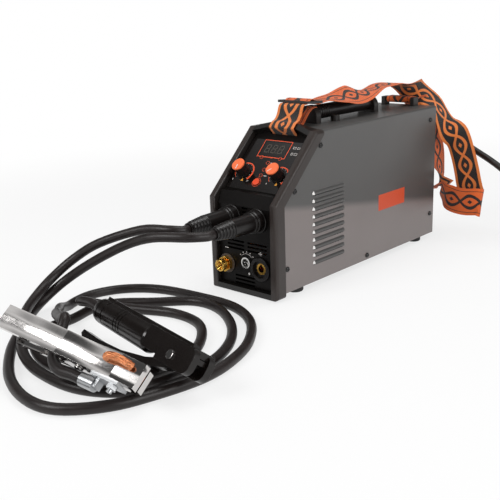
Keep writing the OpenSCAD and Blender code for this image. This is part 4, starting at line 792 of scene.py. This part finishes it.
# %% Marks round the display, lamps and button
DISPLAY_S, BUTTON_S, KNOB_X, KNOB_S = 79, 25.5, 29, 38.5
LAMPS_S = (56.9, 45.7, 36.4)
DIAL_FROM, DIAL_TO, DIAL_STEPS = 225, -45, 10
orange, white, yellow = Print(on_slope), Print(on_slope), Print(on_slope)
orange.frame(0, DISPLAY_S, 23.6, 14.0, 1.0)
for x, s in ((-14.4, 64.4), (16.7, 65), *((1, s) for s in LAMPS_S)):
    orange.arc(x, s, 2.3, 0.45, 0, 360)
orange.bar(-2.2, 64.6, 3.8, 66.2)
orange.arc(0, BUTTON_S, 6.2, 0.5, 0, 360)
for x, s, w, h in ((30.5, 84, 2.4, 1.5), (37, 84, 2.0, 1.5), (31, 74.5, 1.5, 1.9), (37, 74.5, 2.4, 1.9)):
    white.frame(x, s, w, h, 0.45)
for s in LAMPS_S:
    white.bar(5.4, s - 0.35, 10.5, s + 0.35)
for x in (-KNOB_X, KNOB_X):
    orange.arc(x, KNOB_S, 13.4, 0.5, DIAL_FROM, DIAL_TO, 2.6)
    for step in range(DIAL_STEPS + 1):
        angle = math.radians(DIAL_FROM + (DIAL_TO - DIAL_FROM) / DIAL_STEPS * step)
        white.add([(x + r * math.cos(angle + d), KNOB_S + r * math.sin(angle + d))
                   for r, d in ((11.6, 0.016), (12.8, 0.016), (12.8, -0.016), (11.6, -0.016))])
    white.words("0", x - 12.4, 25.2, 3.4)
    white.words("10", x + 12.8, 25.2, 3.4)
    yellow.add([(x + 1.6, 24.5), (x + 6.0, 24.5), (x + 3.8, 28.5)])
for name, marks, finish in (("orange", orange, ink_orange), ("white", white, ink_white),
                            ("yellow", yellow, ink_yellow)):
    marks.build("overlay_print_" + name, finish, "control_overlay")
print(len(orange.faces), "orange faces")

# %% Unlit digits behind the glass
DIGIT_W, DIGIT_H, LINE, LEAN = 7.6, 13.4, 1.4, 0.10
digits = Print(lambda x, s: on_slope(x + (s - DISPLAY_S) * LEAN, s, 7.9))
low = DISPLAY_S - DIGIT_H / 2
for left in (-15.5, -4.5, 6.5):
    for y in (low, low + DIGIT_H / 2 - LINE / 2, low + DIGIT_H - LINE):
        digits.bar(left + 0.7 * LINE, y, left + DIGIT_W - 0.7 * LINE, y + LINE)
    for x in (left, left + DIGIT_W - LINE):
        for y in (low + 0.7 * LINE, low + DIGIT_H / 2 + 0.35 * LINE):
            digits.bar(x, y, x + LINE, y + DIGIT_H / 2 - 1.1 * LINE)
    digits.disc(left + DIGIT_W + 1.3, low + 0.7, 0.7)
digits.build("display_digits", segment_grey, "display_window")

# %% Pointers, wall marks and the side's plain label
CAP_OUT = 25  # the knob's cap, off the slope
for side, x0, turn in (("left", -KNOB_X, 180), ("right", KNOB_X, 135)):
    pointer = Print(lambda x, s, x0=x0: on_slope(x0 + x, KNOB_S + s, CAP_OUT + INK_OUT))
    cos, sin = math.cos(math.radians(turn)), math.sin(math.radians(turn))
    pointer.add([(cos * a - sin * b, sin * a + cos * b)
                 for a, b in ((-0.55, 0.6), (0.55, 0.6), (0.55, 7.4), (-0.55, 7.4))])
    pointer.build(f"knob_{side}_pointer", ink_white, f"knob_{side}_cap")

wall = Print(on_wall)
for x, z in ((-33.5, 50.0), (25, 50.5)):
    wall.bar(x - 3, z - 0.5, x + 3, z + 0.5)
wall.bar(24.5, 48.0, 25.5, 53.0)
wall.arc(1, 35, 11.5, 0.5, 40, 140)
for angle in map(math.radians, (40, 65, 90, 115, 140)):
    wall.disc(1 + 14.3 * math.cos(angle), 35 + 14.3 * math.sin(angle), 0.8)
wall.build("wall_marks", ink_white, "front_panel")

label = Print(on_right_side)
label.bar(28, 73.7, 97.5, 97)
label.build("side_label", ink("label_orange", "#cf4a22", 0.4), "cover")
print(len(wall.faces), "faces on the wall")

# %% [markdown]
# ## Repeats with Geometry Nodes
# Stitches and strands are each one small shape made many times. A Geometry Nodes tree
# keeps the rule and its sizes as named inputs. The tree ends in real mesh with its material set,
# because instances are lost when a part is exported.

# %% Tree tools
def new_tree(name, inputs):
    """A tree with a geometry in and out, and a named input for each size: name -> (kind, value)."""
    tree = bpy.data.node_groups.new(name, "GeometryNodeTree")
    for way in ("INPUT", "OUTPUT"):
        tree.interface.new_socket("Geometry", in_out=way, socket_type="NodeSocketGeometry")
    for label, (kind, value) in inputs.items():
        socket = tree.interface.new_socket(label, in_out="INPUT", socket_type="NodeSocket" + kind)
        if value is not None:
            socket.default_value = value
    return tree, tree.nodes.new("NodeGroupInput").outputs, tree.nodes.new("NodeGroupOutput").inputs


def last_steps(tree, mesh, given, result):
    """Ends a tree in real mesh with its material set."""
    real = new_node(tree, "GeometryNodeRealizeInstances", {"Geometry": mesh})
    dressed = new_node(tree, "GeometryNodeSetMaterial", {"Geometry": real[0], "Material": given["Finish"]})
    tree.links.new(dressed[0], result["Geometry"])


def grown(tree, data, name, **values):
    """The mesh that a tree makes of some data, with its inputs set by identifier."""
    source = bpy.data.objects.new(name, data)
    into_scene(source)
    maker = source.modifiers.new("maker", "NODES")
    maker.node_group = tree
    for item in tree.interface.items_tree:
        if item.in_out == "INPUT" and item.name in values:
            maker[item.identifier] = values[item.name]
    graph = bpy.context.evaluated_depsgraph_get()
    mesh = bpy.data.meshes.new_from_object(source.evaluated_get(graph))
    mesh.name = name
    bpy.data.objects.remove(source)
    return mesh


# %% Tree: strands swept along curves
strands, given, result = new_tree("Strands", {
    "Thickness": ("Float", 0.0005), "Sides": ("Int", 6), "Finish": ("Material", None)})
ring = new_node(strands, "GeometryNodeCurvePrimitiveCircle", {
    "Resolution": given["Sides"], "Radius": given["Thickness"]})
swept = new_node(strands, "GeometryNodeCurveToMesh", {
    "Curve": given["Geometry"], "Profile Curve": ring["Curve"], "Fill Caps": True})
smooth = new_node(strands, "GeometryNodeSetShadeSmooth", {"Geometry": swept["Mesh"]})
last_steps(strands, smooth[0], given, result)

# %% Tree: stitches along curves
stitching, given, result = new_tree("Stitches", {
    "Pitch": ("Float", 0.003), "Thread": ("Float", 0.0004), "Stitch length": ("Float", 2.6),
    "Finish": ("Material", None)})
spots = new_node(stitching, "GeometryNodeCurveToPoints", {
    "Curve": given["Geometry"], "Length": given["Pitch"]}, mode="LENGTH")
bead = new_node(stitching, "GeometryNodeMeshUVSphere", {"Segments": 8, "Rings": 5, "Radius": given["Thread"]})
shape = new_node(stitching, "ShaderNodeCombineXYZ", {"X": 1.0, "Y": 1.0, "Z": given["Stitch length"]})
stitch = new_node(stitching, "GeometryNodeInstanceOnPoints", {
    "Points": spots["Points"], "Instance": bead["Mesh"], "Rotation": spots["Rotation"],
    "Scale": shape["Vector"]})
last_steps(stitching, stitch["Instances"], given, result)
print("trees:", [t.name for t in bpy.data.node_groups])

# %% [markdown]
# ## The carrying strap
# The strap is one woven band: through the slot behind the bezel, back over the handle, down
# behind the case, and round the rear bracket's bar. A flat strap keeps its width, so its mesh is
# made directly from stations, each with a place and the way across the band.

# %% Strap stations: millimetres from the cover's lower front edge, and the way across if not x
strap_stations = [
    (0, 116, 223.4), (0, 106, 222.2), (0, 97, 216), (0, 90, 208), (0, 84, 203), (0, 79.6, 199.5),
    (0, 78.1, 195), (0, 78, 191), (0, 77.1, 188.8), (0, 75.2, 189), (0, 67, 197.7), (0, 65.1, 200.3),
    (0, 65.8, 201.8), (0, 70.8, 206.9), (0, 73, 207.8), (0, 77, 209.6), (0, 82, 216), (0, 86, 226),
    (0, 90, 229.2), (0, 93, 229), (0, 97, 230.4), (0, 103, 234.4), (0, 109, 234), (0, 115, 228.6),
    (0, 119, 227.2), (0, 124, 227.4), (1, 145, 228, 1, 0, 0.05), (3, 165, 228, 1, 0, -0.1),
    (6, 185, 228, 1, 0, -0.25), (8, 205, 229, 0.9, 0, -0.5), (8, 221, 230, 0.85, 0, -0.55),
    (6, 238, 230, 0.9, 0, -0.4), (3, 258, 230, 1, 0, -0.1), (1, 280, 232, 1, 0, 0.1), (0, 305, 235),
    (0, 328, 236), (1, 345, 233, 1, 0.1, 0), (5, 360, 228, 0.9, 0.4, 0), (13, 374, 221, 0.7, 0.7, 0),
    (24, 387, 214, 0.4, 0.9, 0), (37, 396, 203, 0.1, 1, 0.1), (49, 398, 188, 0, 1, 0),
    (59, 396, 173, 0.3, 0.95, 0), (69, 397, 160, 0.8, 0.6, 0), (80, 398, 147, 1, 0.1, -0.1),
    (89, 398, 125, 1, 0, -0.2), (97, 397, 100, 1, 0, -0.2), (103, 395, 80, 1, 0, -0.2),
    (110, 393, 64, 1, 0, 0.1), (119, 391, 55, 0.8, 0, 0.6), (128, 387, 53, 0.3, 0, 1),
    (132, 381, 55, 0, 0.1, 1), (127, 375, 57, 0, 0, 1), (105, 373, 55, 0, 0, 1), (82, 375, 58, 0, 0, 1),
    (68, 380, 66, -0.4, 0, 1), (58, 386, 78, -0.5, 0.5, 0.6), (51, 396, 95, -0.2, 1, 0),
    (46, 397, 120, 0, 1, 0), (41, 397, 148, 0, 1, 0), (33, 396, 170, 0.3, 0.9, 0),
    (22, 390, 189, 0.7, 0.7, 0), (11, 381, 201.5, 0.9, 0.3, 0), (3, 370, 205.4), (0, 359, 204.8),
    (0, 354, 204.8), (0, 351.6, 206.4), (0, 350.8, 209), (0, 352, 212), (0, 355, 213.2), (0, 362, 213.6),
    (0, 370, 212)
]
STRAP_W, STRAP_T = 42.0, 1.3
dense = smooth_steps([(*station, 1, 0, 0)[:6] for station in strap_stations], 4)
last = len(dense) - 1
centres = [from_case(x, y, z) for x, y, z, *_ in dense]
strap_frames, run_length = [], [0.0]
for i, (*_, side_x, side_y, side_z) in enumerate(dense):
    along = (centres[min(i + 1, last)] - centres[max(i - 1, 0)]).normalized()
    side = Vector((side_x, side_y, side_z))
    side = (side - side.dot(along) * along).normalized()
    strap_frames.append((centres[i], side, along.cross(side)))
for a, b in zip(centres, centres[1:]):
    run_length.append(run_length[-1] + (b - a).length)
strap_length = run_length[-1]
print(f"strap: {strap_length:.3f} m in {len(dense)} stations")


# %% Strap mesh
def strap_point(i, across, lift):
    """A point on the band: across from -1 to 1, lift in millimetres off its middle."""
    place, side, outward = strap_frames[i]
    return place + side * across * STRAP_W / 2 * MM + outward * lift * MM


COLUMNS, RIM = 12, 0.35  # the band thins to this share at its edges
SLIDER_STATION = 77  # the front loop is sewn on under the slider, black side out
corners, quads, sides = [], [], []
for i in range(last + 1):
    for lift in (STRAP_T / 2, -STRAP_T / 2):
        for j in range(COLUMNS + 1):
            corners.append(strap_point(i, 2 * j / COLUMNS - 1, lift * (RIM if j in (0, COLUMNS) else 1.0)))


def add_quad(places, turned, side):
    """Each place is a station, a layer (0 is the outer) and a column."""
    quads.append(places[::-1] if turned else places)
    sides.append(side)


for i in range(last):
    for layer in (0, 1):
        for j in range(COLUMNS):
            add_quad([(i, layer, j), (i, layer, j + 1), (i + 1, layer, j + 1), (i + 1, layer, j)],
                     layer == 0, 1 - layer if i < SLIDER_STATION else layer)
    for j in (0, COLUMNS):
        add_quad([(i, 0, j), (i, 1, j), (i + 1, 1, j), (i + 1, 0, j)], j == 0, 1)
for i in (0, last):
    for j in range(COLUMNS):
        add_quad([(i, 0, j), (i, 0, j + 1), (i, 1, j + 1), (i, 1, j)], i == last, 1)
strap_mesh = bpy.data.meshes.new("strap_webbing")
strap_mesh.from_pydata(corners, [], [[(2 * i + layer) * (COLUMNS + 1) + j for i, layer, j in quad]
                                     for quad in quads])
weave_map = strap_mesh.uv_layers.new(name="weave")
for face, quad in zip(strap_mesh.polygons, quads):
    for loop, (i, _, j) in zip(face.loop_indices, quad):
        weave_map.data[loop].uv = (j / COLUMNS, run_length[i] / strap_length)
    face.material_index = sides[face.index]
print(len(quads), "strap faces")


# %% Webbing finish
WAVE, WAVE_REACH, LINE_REACH = 64, 9.5, 2.6  # millimetres
LOZENGE, FIGURE_X, BORDER_X, THREAD_X, THREAD_Y = 4.2, 15.2, 16.6, 1.1, 0.9


def webbing(name, ground, figure, edge_is_figure):
    """Two-colour woven band: borders, crossing waves with a lozenge in each gap, and threads."""
    finish = Finish(name, 0.78, Sheen_Weight=0.15, Sheen_Roughness=0.5)
    u, v, _ = finish.axes(finish.node("ShaderNodeUVMap", "UV", uv_map="weave"))
    fray = (finish.noise(1800, 1.0) - 0.5) * 0.5
    a, b = (u - 0.5) * STRAP_W + fray, v * (strap_length / MM)
    wave = (b * (math.tau / WAVE)).sin() * WAVE_REACH
    lines = ((a - wave).abs() < LINE_REACH).max((a + wave).abs() < LINE_REACH)
    c = ((b / (WAVE / 2)).fract() - 0.5) * (WAVE / 2)
    lozenges = (a.abs() * 1.3 + c.abs()) < LOZENGE
    border = a.abs() > BORDER_X if edge_is_figure else (a.abs() - 16.2).abs() < 0.45
    mask = (lines.max(lozenges) * (a.abs() < FIGURE_X)).max(border)
    threads = (a * (math.tau / THREAD_X)).sin() * (b * (math.tau / THREAD_Y) + a * 1.9).sin()
    colour = finish.mix(mask, ground, figure)
    # Painted shade in the weave's hollows, where the threads lie low, with a random mottle.
    weave_shade_and_mottle = (0.5 - threads * 0.5) * 0.30 + finish.noise(45, 2.0) * 0.10
    finish.paint(weave_shade_and_mottle, colour, (0.01, 0.008, 0.008, 1))
    finish.set("Roughness", 0.74 + threads * 0.08)
    return finish.bump(threads + mask * 0.5, 0.00016)


strap = add_piece("strap_webbing", strap_mesh, "strap")
for side in (webbing("webbing_black_side", "#15110f", "#fb8a3c", True),
             webbing("webbing_orange_side", "#f26a1e", "#1a1412", False)):
    strap_mesh.materials.append(side.material)
shade(strap_mesh, 50)
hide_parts("strap")

# %% Stitches that close the strap's rear end
SEAM_X, SEAM_OUT = 0.8, -STRAP_T / 2 - 0.05
seam = range(last - 8, last)
rows = []
for i in (seam[0], seam[-1]):
    rows.append([strap_point(i, (k / 6 - 1) * SEAM_X, SEAM_OUT) for k in range(13)])
for edge in (-SEAM_X, SEAM_X):
    rows.append([strap_point(i, edge, SEAM_OUT) for i in seam])
thread_black = moulded("thread_black", "#161211", 0.7)
stitches = add_piece("strap_stitches", grown(
    stitching, curves_through("stitch_lines", rows), "strap_stitches", Finish=thread_black.material), "strap")
print(len(rows), "rows of stitches")

# %% [markdown]
# ## Copper braid
# The braid that joins the clamp's two jaws is a sleeve of fine copper strands. Half of them wind
# one way and half the other, and each passes over and under, so its distance from the middle
# changes twice as it crosses a neighbour.

# %% Braid
def along_path(path, count):
    """Evenly spaced places on a path, each with two directions square to it."""
    lengths = [0.0]
    for a, b in zip(path, path[1:]):
        lengths.append(lengths[-1] + (b - a).length)
    normal = Vector((0, 1, 0))
    for k in range(count + 1):
        target = lengths[-1] * k / count
        i = max(j for j in range(len(path) - 1) if lengths[j] <= target + 1e-9)
        step_length = max(lengths[i + 1] - lengths[i], 1e-9)
        place = path[i].lerp(path[i + 1], min(1.0, (target - lengths[i]) / step_length))
        along = (path[i + 1] - path[i]).normalized()
        normal = (normal - normal.dot(along) * along).normalized()
        yield place, normal, along.cross(normal)


braid_path = [placed(CLAMP_AT, CLAMP_TURN, Vector(p) / MM) for p in rounded_path(
    [(35, 3, 15.3), (35.6, 3, 18.8), (41, 4, 22.6), (51, 5, 23), (60, 5, 18.6), (64, 5, 13.6)], 6, -99)]
STRANDS, WINDINGS, PLACES = 9, 2.6, 90  # strands each way
BRAID_R, OVER_UNDER = 3.15, 0.34
strand_paths = []
for way in (1, -1):
    for s in range(STRANDS):
        line = []
        for k, (place, normal, binormal) in enumerate(along_path(braid_path, PLACES)):
            wound = math.tau * (k / PLACES * WINDINGS)
            turn = way * wound + math.tau * s / STRANDS
            radius = BRAID_R + OVER_UNDER * way * math.sin(wound * STRANDS)
            line.append((place + (normal * math.cos(turn) + binormal * math.sin(turn)) * radius) * MM)
        strand_paths.append(line)
core = [place * MM for place, _, _ in along_path(braid_path, 24)]
bright_copper, dark_copper = metal("braid_copper", "#f0a070", 0.22), metal("braid_inside", "#6a3216", 0.5)
braid = add_piece("clamp_braid_strands", grown(
    strands, curves_through("braid_lines", strand_paths), "braid_strands",
    Thickness=0.00048, Sides=6, Finish=bright_copper.material), "clamp_braid")
add_piece("clamp_braid_core", grown(
    strands, curves_through("braid_core", [core]), "braid_core",
    Thickness=0.0025, Sides=10, Finish=dark_copper.material), "clamp_braid")
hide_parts("clamp_braid")
print(len(strand_paths), "strands in the braid")
